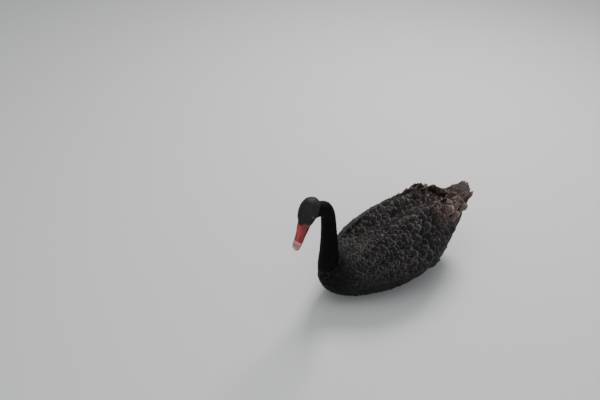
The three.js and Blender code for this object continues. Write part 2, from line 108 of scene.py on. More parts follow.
def grid(nu, nv, ends=True):
    u = np.linspace(0, 1, nu + 1); a = np.linspace(0, 2 * np.pi, nv, endpoint=False)
    return np.meshgrid(ease(u) if ends else u, a, indexing='ij')


def live(w, grow, floor=0.02):
    """Half sizes with the coat's depth taken off, still closing at the ends."""
    return np.where(w > 0.01, np.maximum(w + grow, floor), 0)


def trunk_grid(grow, nu=120, nv=120, rows=TRUNK, fullness=TRUNK_N, dip=0.0):
    k, a = grid(nu, nv)
    y0, y1 = rows[0, 0] - grow, rows[-1, 0] + grow
    ys = rows[0, 0] + (rows[-1, 0] - rows[0, 0]) * k; y = y0 + (y1 - y0) * k
    w = live(size(rows, rows[:, 1])(ys), grow); z = column(rows, rows[:, 2])(ys)
    up0 = size(rows, rows[:, 3] - rows[:, 2])(ys); up = live(up0, grow)
    dn = live(size(rows, rows[:, 2] - rows[:, 4])(ys), grow); s = np.sin(a); c = spow(np.cos(a), 2 / fullness)
    return np.stack([w * c, y, z + np.where(s > 0, up, dn) * spow(s, 2 / fullness) - np.where(s > 0, dip * up0 * (1 - c * c) ** 2, 0)], -1)


def mantle_grid(grow): return trunk_grid(grow, rows=MANTLE, fullness=4, dip=0.58)


def neck_frames(t):
    c = np.stack([column(NECK, NECK[:, i])(t) for i in (1, 2, 3)], -1)
    e = 1e-3
    T = (np.stack([column(NECK, NECK[:, i])(np.clip(t + e, 0, 1)) for i in (1, 2, 3)], -1)
         - np.stack([column(NECK, NECK[:, i])(np.clip(t - e, 0, 1)) for i in (1, 2, 3)], -1))
    T /= np.linalg.norm(T, axis=-1, keepdims=True)
    U = np.array([1.0, 0, 0]) - T * T[..., :1]; U /= np.linalg.norm(U, axis=-1, keepdims=True)
    return c, T, U, np.cross(T, U)


def neck_grid(grow, nu=150, nv=64, t0=0.0, t1=1.0):
    k, a = grid(nu, nv, ends=False)
    t = t0 + (t1 - t0) * k
    c, T, U, V = neck_frames(t)
    ra = size(NECK, NECK[:, 4])(t) + grow; rf = size(NECK, NECK[:, 5])(t) + grow
    return c + (ra * np.cos(a))[..., None] * U + (rf * np.sin(a))[..., None] * V


_p, _q = math.radians(HEAD_PITCH), math.radians(HEAD_YAW)
HF = np.array([math.sin(_q) * math.cos(_p), -math.cos(_q) * math.cos(_p), -math.sin(_p)])
HL = np.array([math.cos(_q), math.sin(_q), 0.0])
HU = np.cross(HF, HL)


def in_head(f, l, u):
    return (HEAD_AT + np.asarray(f)[..., None] * HF + np.asarray(l)[..., None] * HL + np.asarray(u)[..., None] * HU)


def to_head(p):
    d = np.asarray(p) - HEAD_AT
    return d @ HF, d @ HL, d @ HU


def head_grid(rows, grow, nu=70, nv=72, n=2.1):
    k, a = grid(nu, nv, ends=False)
    f = rows[0, 0] + (rows[-1, 0] - rows[0, 0]) * k
    w = live(size(rows, rows[:, 1])(f), grow); top, bot = column(rows, rows[:, 2])(f), column(rows, rows[:, 3])(f)
    h = live((top - bot) / 2, grow)
    return in_head(f, w * spow(np.cos(a), 2 / n), (top + bot) / 2 + h * spow(np.sin(a), 2 / n))


def wing_grid(side, grow, nu=110, nv=80):
    k, a = grid(nu, nv)
    y = WING[0, 0] + (WING[-1, 0] - WING[0, 0]) * k
    hh, tt = size(WING, WING[:, 3])(y), size(WING, WING[:, 4])(y)
    q = np.radians(column(WING, WING[:, 5])(y)); c = spow(np.cos(a), 2 / WING_N)
    A = live(hh, grow) * c
    B = live(tt * (1 - 0.42 * c - 0.26 * c * c), grow, 1.2) * spow(np.sin(a), 2 / WING_N)
    tuck = 15.0 * sstep(-140, -212, y)      # the wrist sinks under the breast feathers
    return np.stack([side * (column(WING, WING[:, 1])(y) - tuck - A * np.cos(q) + B * np.sin(q)), y,
                     column(WING, WING[:, 2])(y) + A * np.sin(q) + B * np.cos(q)], -1)


def tail_grid(grow, nu=40, nv=48):
    k, a = grid(nu, nv)
    y = TAIL[0, 0] + (TAIL[-1, 0] - TAIL[0, 0]) * k; c = np.cos(a)
    w = live(size(TAIL, TAIL[:, 1])(y), grow * 2); t = live(size(TAIL, TAIL[:, 3])(y), grow, 0.8)
    return np.stack([w * c, y - 8 * k, column(TAIL, TAIL[:, 2])(y) - TAIL_ARCH * c * c * (w / 46) + t * spow(np.sin(a), 0.8)], -1)


# ------------------------------------------------------------- mesh builders
def to_m(v): return (np.asarray(v, float) + SHIFT) / 1000


def make_mesh(name, V, F, attrs=None, uvs=None, smooth=True, rim=None):
    """V in metres, F an array of quads or triangles."""
    me = bpy.data.meshes.new(name)
    F = np.asarray(F, np.int32); k = F.shape[1]
    me.vertices.add(len(V)); me.vertices.foreach_set('co', np.asarray(V, np.float32).ravel())
    me.loops.add(F.size); me.loops.foreach_set('vertex_index', F.ravel())
    me.polygons.add(len(F)); me.polygons.foreach_set('loop_start', np.arange(0, F.size, k, dtype=np.int32))
    me.update(calc_edges=True)
    if smooth: me.polygons.foreach_set('use_smooth', np.ones(len(F), bool))
    if rim is not None:      # the vane's edge stays crisp
        ev = np.empty(len(me.edges) * 2, np.int32); me.edges.foreach_get('vertices', ev); ev = ev.reshape(-1, 2)
        at = me.attributes.new('sharp_edge', 'BOOLEAN', 'EDGE'); at.data.foreach_set('value', np.asarray(rim, bool)[ev].all(1))
    for an, arr in (attrs or {}).items():
        arr = np.asarray(arr, np.float32)
        if arr.ndim == 1:
            at = me.attributes.new(an, 'FLOAT', 'POINT'); at.data.foreach_set('value', arr)
        else:
            at = me.attributes.new(an, 'FLOAT_COLOR', 'POINT')
            at.data.foreach_set('color', np.concatenate([arr, np.ones((len(arr), 1), np.float32)], 1).ravel())
    for un, arr in (uvs or {}).items():
        lay = me.uv_layers.new(name=un)
        lay.data.foreach_set('uv', np.asarray(arr, np.float32)[F.ravel()].ravel())
    ob = bpy.data.objects.new(name, me); scene.collection.objects.link(ob)
    return ob


def closed_grid_faces(nu, nv):
    """Rings 0..nu of nv points, with a point added at each end."""
    i, j = np.meshgrid(np.arange(nu), np.arange(nv), indexing='ij'); k = (j + 1) % nv
    q = np.stack([i * nv + j, i * nv + k, (i + 1) * nv + k, (i + 1) * nv + j], -1).reshape(-1, 4)
    return q


def grid_solid(S):
    """Closed triangles from a grid whose first and last rings are capped."""
    nu, nv = S.shape[0] - 1, S.shape[1]
    q = closed_grid_faces(nu, nv)
    T = np.concatenate([q[:, [0, 1, 2]], q[:, [0, 2, 3]]])
    V = np.concatenate([S.reshape(-1, 3), S[0].mean(0)[None], S[-1].mean(0)[None]])
    a = (nu + 1) * nv; j = np.arange(nv); k = (j + 1) % nv
    T = np.concatenate([T, np.stack([np.full(nv, a), k, j], -1), np.stack([np.full(nv, a + 1), nu * nv + j, nu * nv + k], -1)])
    A, B, C = V[T[:, 0]], V[T[:, 1]], V[T[:, 2]]
    if np.einsum('ij,ij->', A, np.cross(B, C)) < 0: T = T[:, ::-1]
    return V, T


def remeshed(name, solids, voxel, smooth, factor=0.5):
    Vs, Ts, n = [], [], 0
    for V, T in solids:
        Vs.append(V); Ts.append(T + n); n += len(V)
    V, T = to_m(np.concatenate(Vs)), np.concatenate(Ts)
    V[:, 2] = np.maximum(V[:, 2], 0.0006)
    tmp = make_mesh(name + "_raw", V, T, smooth=False)
    m = tmp.modifiers.new("r", 'REMESH'); m.mode = 'VOXEL'; m.voxel_size = voxel; m.use_smooth_shade = True
    s = tmp.modifiers.new("s", 'SMOOTH'); s.factor = factor; s.iterations = smooth
    dg = bpy.context.evaluated_depsgraph_get()
    me = bpy.data.meshes.new_from_object(tmp.evaluated_get(dg)); me.name = name
    bpy.data.objects.remove(tmp, do_unlink=True)
    ob = bpy.data.objects.new(name, me); scene.collection.objects.link(ob)
    me.polygons.foreach_set('use_smooth', np.ones(len(me.polygons), bool))
    return ob


def coords(me):
    v = np.empty(len(me.vertices) * 3, np.float32); me.vertices.foreach_get('co', v)
    return v.reshape(-1, 3).astype(float)


# ------------------------------------------------------------------ colours
def mixc(a, b, t):
    t = np.clip(t, 0, 1)[..., None]
    return np.asarray(a) * (1 - t) + np.asarray(b) * t


def sstep(a, b, x):
    t = np.clip((x - a) / (b - a), 0, 1)
    return t * t * (3 - 2 * t)


BLACK = np.array([0.0042, 0.0040, 0.0042]); COAL = np.array([0.0068, 0.0061, 0.0059]); GREY = np.array([0.0125, 0.0110, 0.0105])
BROWN = np.array([0.030, 0.0195, 0.0165]); RED = np.array([0.30, 0.020, 0.026]); PINK = np.array([0.44, 0.25, 0.27])


def tone(p):
    """Plumage colour by place on the bird (mm): black neck and head, grey-black body, browner rear, with painted shade
    low on the body, in the valley between the wings and in the hollow under the rear wing feathers.
    """
    p = np.asarray(p, float); y, z, x = p[..., 1], p[..., 2], np.abs(p[..., 0])
    c = np.broadcast_to(COAL, p.shape).copy()
    c = mixc(c, GREY, sstep(-235, -150, y) * sstep(90, 160, z) * 0.8)
    c = mixc(c, BROWN * 0.62, sstep(40, 190, y) * sstep(120, 190, z))
    front = sstep(-215, -262, y - (z - 100) * 0.10)
    c = mixc(c, BLACK, front)
    # painted shade: plumage darkened towards black low on the body, where less light reaches
    c = mixc(c, BLACK, sstep(125, 60, z) * 0.75)
    # painted shadow: a near-black band in the valley between the wings, behind the near wing's crest
    xs = p[..., 0]; valley_shade = sstep(-1, 7, xs) * sstep(36, 28, xs) * sstep(-120, -80, y) * sstep(170, 130, y) * sstep(190, 200, z)
    c = mixc(c, BLACK * 0.3, valley_shade * 0.95)
    # painted shadow: the hollow under the curled rear wing feathers is darkened
    hollow_shade = sstep(96, 106, y) * sstep(172, 158, y) * sstep(184, 190, z) * sstep(222, 214, z) * sstep(40, 48, x)
    c = mixc(c, BLACK * 0.4, hollow_shade * 0.9)
    return c


# --------------------------------------------------------------------- skin
DEPTH = dict(trunk=3.6, neck=2.4, head=1.3, wing=3.2, tail=2.5)
solids = [grid_solid(trunk_grid(-DEPTH['trunk'])), grid_solid(mantle_grid(-DEPTH['trunk'])), grid_solid(neck_grid(-DEPTH['neck'])),
          grid_solid(head_grid(HEAD, -DEPTH['head'])), grid_solid(tail_grid(-DEPTH['tail']))]
solids += [grid_solid(wing_grid(s, -DEPTH['wing'])) for s in (1, -1)]
# a soft fill where the throat meets the neck
k, a = grid(24, 24)
for f0, l0, u0, r in ((-58, 0, -12, 20), (-64, 0, -6, 18)):
    c0 = in_head(f0, l0, u0)
    S = np.stack([c0[0] + r * np.sin(np.pi * np.linspace(0, 1, 25))[:, None] * np.cos(a), c0[1] + r * np.sin(np.pi * np.linspace(0, 1, 25))[:, None] * np.sin(a),
                  np.broadcast_to(c0[2] + r * np.cos(np.pi * np.linspace(0, 1, 25))[:, None], a.shape)], -1)
    solids.append(grid_solid(S))
skin = remeshed("skin", solids, 0.0022, 12)
sk_v = coords(skin.data)
sk_v[:, 2] = np.maximum(sk_v[:, 2], 0.0004)
skin.data.vertices.foreach_set('co', sk_v.astype(np.float32).ravel()); skin.data.update()
BV = BVHTree.FromPolygons([tuple(v) for v in sk_v], [tuple(p.vertices) for p in skin.data.polygons])


def vee(l): return 6.0 - 17.0 * np.clip(np.abs(l) / 9.5, 0, 1) + 4.0 * sstep(12, 17, np.abs(l))


def bare(p):
    """1 on the bare red skin that runs from the bill's base to the eye (p in mm)."""
    f, l, u = to_head(p)
    g = np.clip(-f / 25.0, 0, 1.2)
    mid = 4.0 + 2.5 * g; hh = 5.5 * np.maximum(1 - g * 1.5, 0) ** 1.2 + 0.55
    d = (hh - np.abs(u - mid)) / 1.2
    side = sstep(5.5, 8.5, np.abs(l))
    lore = np.clip(d + 0.5, 0, 1) * side * sstep(-24.5, -22.5, f) * (f < 12)
    return np.maximum(lore, sstep(-0.6, 0.6, f - vee(l)) * (u > -6) * (f < 14) * (np.abs(l) < 22))


pmm = sk_v * 1000 - SHIFT
col = tone(pmm)
fh, lh, uh = to_head(pmm)
near_head = (np.abs(fh) < 95) & (np.abs(lh) < 40) & (np.abs(uh) < 45)
bm = np.where(near_head, bare(pmm), 0)
col = mixc(col * 0.8, mixc(np.array([0.10, 0.030, 0.032]), RED * 0.8, sstep(-12, -4, fh)), bm)
at = skin.data.attributes.new('tone', 'FLOAT_COLOR', 'POINT')
at.data.foreach_set('color', np.concatenate([col, np.ones((len(col), 1))], 1).astype(np.float32).ravel())


# ------------------------------------------------------------------ feathers
class Surf:
    """A tract's surface: a grid of points, closed round j, read by (u, v)."""
    def __init__(s, S):
        s.S = S; s.n, s.m = S.shape[:2]
        s.step = np.linalg.norm(np.diff(S, axis=0), axis=-1).mean(1)
        s.cum = np.concatenate([[0], np.cumsum(s.step)])

    def ring(s, u):
        x = np.clip(u, 0, 1) * (s.n - 1); i = min(int(x), s.n - 2); t = x - i
        return s.S[i] * (1 - t) + s.S[i + 1] * t

    def roots(s, row_gap, gap, u0=0.0, u1=1.0, flow=1, jitter=0.22):
        """Rows of roots, each row set half a feather aside from the last."""
        out = []; d = s.cum[-1] * u0 + 1e-6; row = 0
        while d < s.cum[-1] * u1:
            u = np.interp(d, s.cum, np.linspace(0, 1, s.n))
            R = s.ring(u); R2 = s.ring(min(u + 0.004, 1)); R1 = s.ring(max(u - 0.004, 0))
            seg = np.linalg.norm(np.roll(R, -1, 0) - R, axis=1); L = seg.sum()
            g = gap(u); n = max(3, int(round(L / g)))
            pos = (np.arange(n) + 0.5 * (row % 2) + rng.uniform(-jitter, jitter, n)) / n * L % L
            c = np.concatenate([[0], np.cumsum(seg)]); idx = np.interp(pos, c, np.arange(s.m + 1))
            i = idx.astype(int) % s.m; t = (idx - np.floor(idx))[:, None]; j = (i + 1) % s.m
            P = R[i] * (1 - t) + R[j] * t
            D = flow * ((R2 - R1)[i] * (1 - t) + (R2 - R1)[j] * t)
            ln = np.linalg.norm(D, axis=1, keepdims=True); D = D / np.maximum(ln, 1e-9)
            out.append((P + D * rng.uniform(-jitter, jitter, (n, 1)) * row_gap(u), D, np.full(n, u), idx / s.m))
            d += row_gap(u); row += 1
        return [np.concatenate([o[k] for o in out]) for k in range(4)]


ATLAS = dict(trunk=(0.01, 0.01, 0.48, 0.48), wing_left=(0.51, 0.01, 0.235, 0.48), wing_right=(0.755, 0.01, 0.235, 0.48),
             neck=(0.01, 0.51, 0.24, 0.48), mantle=(0.26, 0.51, 0.22, 0.48), head=(0.50, 0.51, 0.22, 0.48), big=(0.74, 0.51, 0.25, 0.48))


def template(nu, nv):
    """A closed lens: top and bottom grids that share their rim."""
    s = np.linspace(0, 1, nu + 1); s = 1 - (1 - s) ** 1.45
    w = np.linspace(-1, 1, nv + 1)
    S, W = np.meshgrid(s, w, indexing='ij')
    top = np.arange((nu + 1) * (nv + 1)).reshape(nu + 1, nv + 1)
    bot = top.copy(); ni = (nu - 1) * (nv - 1)
    bot[1:-1, 1:-1] = top.size + np.arange(ni).reshape(nu - 1, nv - 1)
    def quads(g): return np.stack([g[:-1, :-1], g[:-1, 1:], g[1:, 1:], g[1:, :-1]], -1).reshape(-1, 4)
    return S, W, quads(top), quads(bot)[:, ::-1]


def outline(S, tip=2.4, base=0.42):
    grow_ = base + (1 - base) * np.clip(S / 0.5, 0, 1) ** 0.8
    end = np.sqrt(np.clip(1 - np.clip((S - 0.52) / 0.485, 0, 1) ** tip, 0, 1))
    return grow_ * np.maximum(end, 0.10)


def vanes(name, P, D, U, V, length, width, h0, h1, nu, nv, atlas, tint=None, camber=0.16, thick=0.26, ragged=0.07,
          twist=7.0, curl=0.0, limit=190000, keep=None, floor=0.35, edge=None, tip=2.4):
    """Feathers rooted on the skin at P (mm), lying along D, their tips over the roots of the next."""
    n = len(P); S, W, FT, FB = template(nu, nv)
    length = np.broadcast_to(np.asarray(length, float), n).copy(); width = np.broadcast_to(np.asarray(width, float), n).copy()
    h1 = np.broadcast_to(np.asarray(h1, float), n).copy()
    ok = np.ones(n, bool); N0 = np.zeros((n, 3)); P0 = np.zeros((n, 3))
    for i in range(n):
        q = to_m(P[i]); loc, nor, _, dist = BV.find_nearest(Vector(q), 0.02)
        if loc is None or dist * 1000 > (5.2 if P[i][1] > -165 or abs(P[i][0]) < 50 else 15.0): ok[i] = False; continue
        N0[i] = nor; P0[i] = np.array(loc) * 1000 - SHIFT
    if keep is not None: ok &= keep(P0, N0)
    P0, N0, D, U, V = P0[ok], N0[ok], D[ok], U[ok], V[ok]; length, width, h1 = length[ok], width[ok], h1[ok]; n = len(P0)
    if n == 0: return []
    length *= rng.uniform(0.86, 1.14, n); width *= rng.uniform(0.88, 1.12, n); h1 *= rng.uniform(0.75, 1.25, n)
    D = D - N0 * (D * N0).sum(1, keepdims=True); D /= np.maximum(np.linalg.norm(D, axis=1, keepdims=True), 1e-9)
    C = np.cross(N0, D); tw = np.radians(rng.normal(0, twist, n))[:, None]
    D, C = D * np.cos(tw) + C * np.sin(tw), C * np.cos(tw) - D * np.sin(tw)
    o = outline(S, tip); m = S.size
    rag = 1 + ragged * rng.normal(0, 1, (n, 1, nv + 1)) * (S[None] ** 3)
    X = P0[:, None, None] + D[:, None, None] * ((S[None] * rag) * length[:, None, None])[..., None] \
        + C[:, None, None] * (W * o * (1 + 0.05 * rng.normal(0, 1, (n, nu + 1, nv + 1))) * (width / 2)[:, None, None])[..., None]
    X = X.reshape(n * m, 3)
    loc = np.empty((n * m, 3)); nor = np.empty((n * m, 3)); Xm = to_m(X)
    find = BV.find_nearest; last = (Vector((0, 0, 0)), Vector((0, 0, 1)))
    for i in range(n * m):
        r = find(Xm[i])
        loc[i] = r[0]; nor[i] = r[1]
    loc = loc * 1000 - SHIFT
    lim = (P0[:, None] + np.zeros((n, m, 1))).reshape(-1, 3)
    # a normal that stays near the root's, so that vanes bridge creases
    nn = nor.reshape(n, m, 3) * 0.65 + N0[:, None] * 0.35
    nn /= np.maximum(np.linalg.norm(nn, axis=2, keepdims=True), 1e-9)
    Sf, Wf = np.broadcast_to(S.ravel(), (n, m)), np.broadcast_to(W.ravel(), (n, m))
    h = h0 + (h1[:, None] - h0) * Sf ** 0.9 - camber * (width / 2)[:, None] * (Wf ** 2) * (0.25 + 0.75 * Sf) + curl * length[:, None] * Sf ** 3
    h = np.maximum(h, floor * 0.5)
    top = loc.reshape(n, m, 3) + nn * h[..., None]
    inner = np.zeros((nu + 1, nv + 1), bool); inner[1:-1, 1:-1] = True; inner = inner.ravel()
    bot = (top - nn * thick)[:, inner]
    allv = np.concatenate([top, bot], 1); per = allv.shape[1]
    allv[..., 2] = np.maximum(allv[..., 2], 0.25)
    sv = np.concatenate([Sf, Sf[:, inner]], 1); wv = np.concatenate([Wf, Wf[:, inner]], 1)
    base = tone(P0)
    if tint is not None: base = tint(P0, base)
    base = base * rng.uniform(0.55, 1.6, (n, 1)) * (1 + rng.normal(0, 0.03, (n, 3)))
    rnd = rng.random(n)
    front = sstep(-215, -262, P0[:, 1] - (P0[:, 2] - 100) * 0.10)
    # pale edges weakened on low feathers as painted shade; on the black front they fade as its own colour
    eg = (1.0 if edge is None else edge) * (np.ones(n) if atlas == 'head' else (1 - 0.85 * front) * (1 - 0.55 * sstep(105, 50, P0[:, 2])))
    ax, ay, aw, ah = ATLAS[atlas]
    uv0 = np.stack([ax + aw * (0.01 + 0.98 * (V % 1)), ay + ah * (0.01 + 0.98 * np.clip(U, 0, 1))], -1)
    uvb = uv0[:, None] + np.stack([wv * 0.0015, (sv - 0.5) * 0.003], -1)
    uvv = np.stack([wv * 0.5 + 0.5, sv], -1)
    FF = np.concatenate([FT, FB]); tris = len(FF) * 2
    chunk = max(1, limit // tris); objs = []
    for a0 in range(0, n, chunk):
        b0 = min(n, a0 + chunk); c = b0 - a0
        Vv = to_m(allv[a0:b0].reshape(-1, 3))
        Fq = (FF[None] + (np.arange(c) * per)[:, None, None]).reshape(-1, 4)
        ob = make_mesh(f"{name}_{len(objs) + 1}" if n > chunk else name, Vv, Fq,
                       attrs={'tone': np.repeat(base[a0:b0], per, 0), 'rnd': np.repeat(rnd[a0:b0], per),
                              'edge': np.repeat(eg[a0:b0], per)},
                       uvs={'OFBake': uvb[a0:b0].reshape(-1, 2), 'Vane': uvv[a0:b0].reshape(-1, 2)},
                       rim=np.tile(np.concatenate([~inner, np.zeros(inner.sum(), bool)]), c))
        objs.append(ob)
    return objs


coat = []
DENS = 1.0
EYES = [in_head(np.array(EYE['forward']), np.array(s * (EYE['side'] - EYE['radius'] * 0.55)), np.array(EYE['up'])) for s in (1, -1)]

# head: tiny, close plumes, none on the bare skin or over the eyes
hs = Surf(head_grid(HEAD, 0)[::-1])


def keep_head(P, N):
    f, l, u = to_head(P)
    ok = (bare(P) < 0.25) & (f < 6)
    for e in EYES: ok &= np.linalg.norm(P - e, axis=1) > EYE['radius'] + 1.4
    ok &= ~((f > vee(l) - 5.4) & (u > -6))
    ok &= ~((f > -5.5) & (u <= -6))
    return ok


P, D, U, V = hs.roots(lambda u: 2.3 * DENS, lambda u: 2.1 * DENS)
coat += vanes("plumes_head", P, D, U, V, 6.4 - 1.8 * (U < 0.35), 3.3, 0.3, 1.5, 3, 2, 'head', camber=0.2, thick=0.2, twist=9, keep=keep_head,
              tint=lambda p, b: np.broadcast_to(BLACK * 3.2, b.shape) * (1 + 0.3 * sstep(-60, -20, to_head(p)[0]))[:, None], edge=0.55)

# neck: small, close plumes that lie down towards the body
ns = Surf(neck_grid(0, t0=0.02, t1=1.0)[::-1])
P, D, U, V = ns.roots(lambda u: (3.6 + 2.4 * sstep(0.45, 1.0, u)) * DENS, lambda u: (3.3 + 2.2 * sstep(0.45, 1.0, u)) * DENS)
coat += vanes("plumes_neck", P, D, U, V, 9.0 + 8.0 * sstep(0.45, 1.0, U), 4.4 + 3.2 * sstep(0.45, 1.0, U), 0.5, 2.3, 4, 2, 'neck', camber=0.2,
              thick=0.22, twist=8, tint=lambda p, b: mixc(BLACK * 0.75, b, sstep(150, 95, p[:, 2]) * 0.25), edge=0.4)

# trunk: breast, belly, flanks and rump; low feathers darker from painted shade, front ones in fine pale-edged rows
ts = Surf(trunk_grid(0))
P, D, U, V = ts.roots(lambda u: (9.8 + 2.0 * sstep(0.25, 0.8, u)) * DENS, lambda u: (10.2 + 2.2 * sstep(0.25, 0.8, u)) * DENS)
D = D + np.array([0, 0, 0.10]) * sstep(20, 120, P[:, 1])[:, None]
fr = 1 - 0.30 * sstep(-205, -255, P[:, 1])
coat += vanes("plumes_body", P, D, U, V, (24.0 + 5 * sstep(0.25, 0.8, U)) * fr, (17.0 + 3.5 * sstep(0.25, 0.8, U)) * fr, 0.3, 4.9 * fr, 7, 6, 'trunk', camber=0.07, ragged=0.08, twist=9)

# mantle: broad round shoulder feathers over the back, between the wings
ms = Surf(mantle_grid(0))
P, D, U, V = ms.roots(lambda u: (10.0 + 9.0 * sstep(0.10, 0.55, u)) * DENS, lambda u: (10.0 + 9.0 * sstep(0.10, 0.55, u)) * DENS, jitter=0.16)
g = sstep(0.10, 0.55, U)
coat += vanes("plumes_mantle", P, D, U, V, 23.0 + 21 * g, 17.0 + 14.5 * g, 0.3, 4.8 + 3.0 * g, 8, 6, 'mantle', camber=0.06, ragged=0.05, twist=9,
              thick=0.3, tip=2.8, keep=lambda P, N: (N[:, 2] > 0.15) & (P[:, 2] > 155) & (np.abs(P[:, 0]) < 50))

# wings: coverts, small at the shoulder, broad and round towards the rear
for nm, sd in (('left', 1), ('right', -1)):
    ws = Surf(wing_grid(sd, 0))
    P, D, U, V = ws.roots(lambda u: (9.6 + 9.2 * sstep(0.14, 0.62, u)) * DENS, lambda u: (9.8 + 9.2 * sstep(0.14, 0.62, u)) * DENS, u0=0.035, jitter=0.18)
    g = sstep(0.14, 0.62, U)
    coat += vanes(f"coverts_{nm}", P, D, U, V, 22.5 + 21.5 * g, 16.5 + 14.5 * g, 0.3, 4.7 + 2.8 * g, 8, 6, f'wing_{nm}', camber=0.06,
                  ragged=0.05, twist=9, thick=0.3, tip=2.8)


# ------------------------------------------------- large feathers of their own
def big_vane(root, T0, side_dir, long, wide, rise_curl, nu=22, nv=12, cup=0.16, wave=0.8, tipn=3.2, split=0.10, thick=0.55, base=0.5, out=None):
    """One large feather: a curved shaft and a vane with a ruffled, slightly split edge.  mm."""
    S, W, FT, FB = template(nu, nv)
    s_line = S[:, 0]; pts = [np.array(root, float)]; frames = []
    Uv = np.array(side_dir, float); Tv = np.array(T0, float); Tv /= np.linalg.norm(Tv)
    Uv = Uv - Tv * (Uv @ Tv); Uv /= np.linalg.norm(Uv); Nv = np.cross(Uv, Tv)
    if (Nv @ np.asarray(out) < 0) if out is not None else (Nv[2] < 0 and abs(Nv[2]) > 0.05): Nv = -Nv
    for i, s in enumerate(s_line):
        e = math.radians(rise_curl * s * s)
        T = Tv * math.cos(e) + Nv * math.sin(e); N = Nv * math.cos(e) - Tv * math.sin(e)
        frames.append((T, N))
        if i < nu: pts.append(pts[-1] + T * long * (s_line[i + 1] - s))
    pts = np.array(pts[:nu + 1]); N = np.array([f[1] for f in frames])
    o = outline(S, tipn, base)
    ph = rng.uniform(0, 6.28, 2)
    edge_w = 1 + 0.05 * np.sin(S * 23 + ph[0]) * np.abs(W) + split * rng.normal(0, 0.5, S.shape) * (np.abs(W) > 0.75)
    X = pts[:, None] + Uv * (W * o * edge_w * wide / 2)[..., None]
    lift = -cup * wide / 2 * W * W * o + wave * np.sin(S * 9 + W * 2.0 + ph[1]) * np.abs(W) ** 2 * (0.3 + S) + 0.5 * np.exp(-(W / 0.12) ** 2)
    X = X + N[:, None] * lift[..., None]
    Tn = np.array([f[0] for f in frames])
    X = X + Tn[:, None] * (rng.normal(0, 0.012, S.shape) * long * (S ** 6))[..., None]
    inner = np.zeros(S.shape, bool); inner[1:-1, 1:-1] = True
    B = (X - N[:, None] * thick)[inner]
    V = np.concatenate([X.reshape(-1, 3), B])
    sv = np.concatenate([S.ravel(), S[inner]]); wv = np.concatenate([W.ravel(), W[inner]])
    return V, np.concatenate([FT, FB]), sv, wv, np.concatenate([~inner.ravel(), np.zeros(inner.sum(), bool)])


def join_big(name, items, colours, cell, edge=1.0):
    Vs, Fs, uvb, uvv, tn, rd, n, rims = [], [], [], [], [], [], 0, []
    ax, ay, aw, ah = ATLAS['big']
    for i, ((V, F, s, w, rm), c) in enumerate(zip(items, colours)):
        rims.append(rm); Vs.append(V); Fs.append(F + n); n += len(V)
        cu = ax + aw * ((cell * 37 + i) % 24 + 0.5) / 24; cv = ay + ah * (((cell * 37 + i) // 24) % 24 + 0.5) / 24
        uvb.append(np.stack([cu + w * 0.0015, cv + (s - 0.5) * 0.003], -1)); uvv.append(np.stack([w * 0.5 + 0.5, s], -1))
        tn.append(np.broadcast_to(np.asarray(c, float) * rng.uniform(0.85, 1.2), (len(V), 3))); rd.append(np.full(len(V), rng.random()))
    V = np.concatenate(Vs); V[:, 2] = np.maximum(V[:, 2], 0.3)
    return make_mesh(name, to_m(V), np.concatenate(Fs), attrs={'tone': np.concatenate(tn), 'rnd': np.concatenate(rd), 'edge': np.full(len(V), edge)},
                     uvs={'OFBake': np.concatenate(uvb), 'Vane': np.concatenate(uvv)}, rim=np.concatenate(rims))


def ruffled(S, u0, u1, gap_, long, wide, rise, curl, keep, tint, nu=12, nv=8, turn=12.0):
    """Loose feathers rooted over a surface, lying back along it with lifted, curled tips."""
    P, D, U, V = S.roots(lambda u: gap_, lambda u: gap_, u0=u0, u1=u1, jitter=0.3); items, cols = [], []
    for p, dr, u in zip(P, D, U):
        r = BV.find_nearest(Vector(to_m(p)), 0.03)
        if r[0] is None: continue
        n0 = np.array(r[1]); q = np.array(r[0]) * 1000 - SHIFT
        if not keep(q, n0, u): continue
        dr = dr - n0 * (dr @ n0); dr /= max(np.linalg.norm(dr), 1e-9); c = np.cross(n0, dr)
        t = math.radians(rng.normal(0, turn)); e = math.radians(rise * rng.uniform(0.5, 1.5)); tilt = rng.normal(0, 0.16)
        T = (dr * math.cos(t) + c * math.sin(t)) * math.cos(e) + n0 * math.sin(e); c2 = c * math.cos(t) - dr * math.sin(t) + n0 * tilt
        items.append(big_vane(q + n0 * rng.uniform(1.0, 2.6), T, c2, long(u) * rng.uniform(0.8, 1.15), wide(u) * rng.uniform(0.85, 1.15),
                              curl * rng.uniform(-0.3, 1.3), nu=nu, nv=nv, cup=0.22, wave=1.3, split=0.10, thick=0.4, out=n0))
        cols.append(tint(q, u) * rng.uniform(0.65, 1.35))
    return items, cols


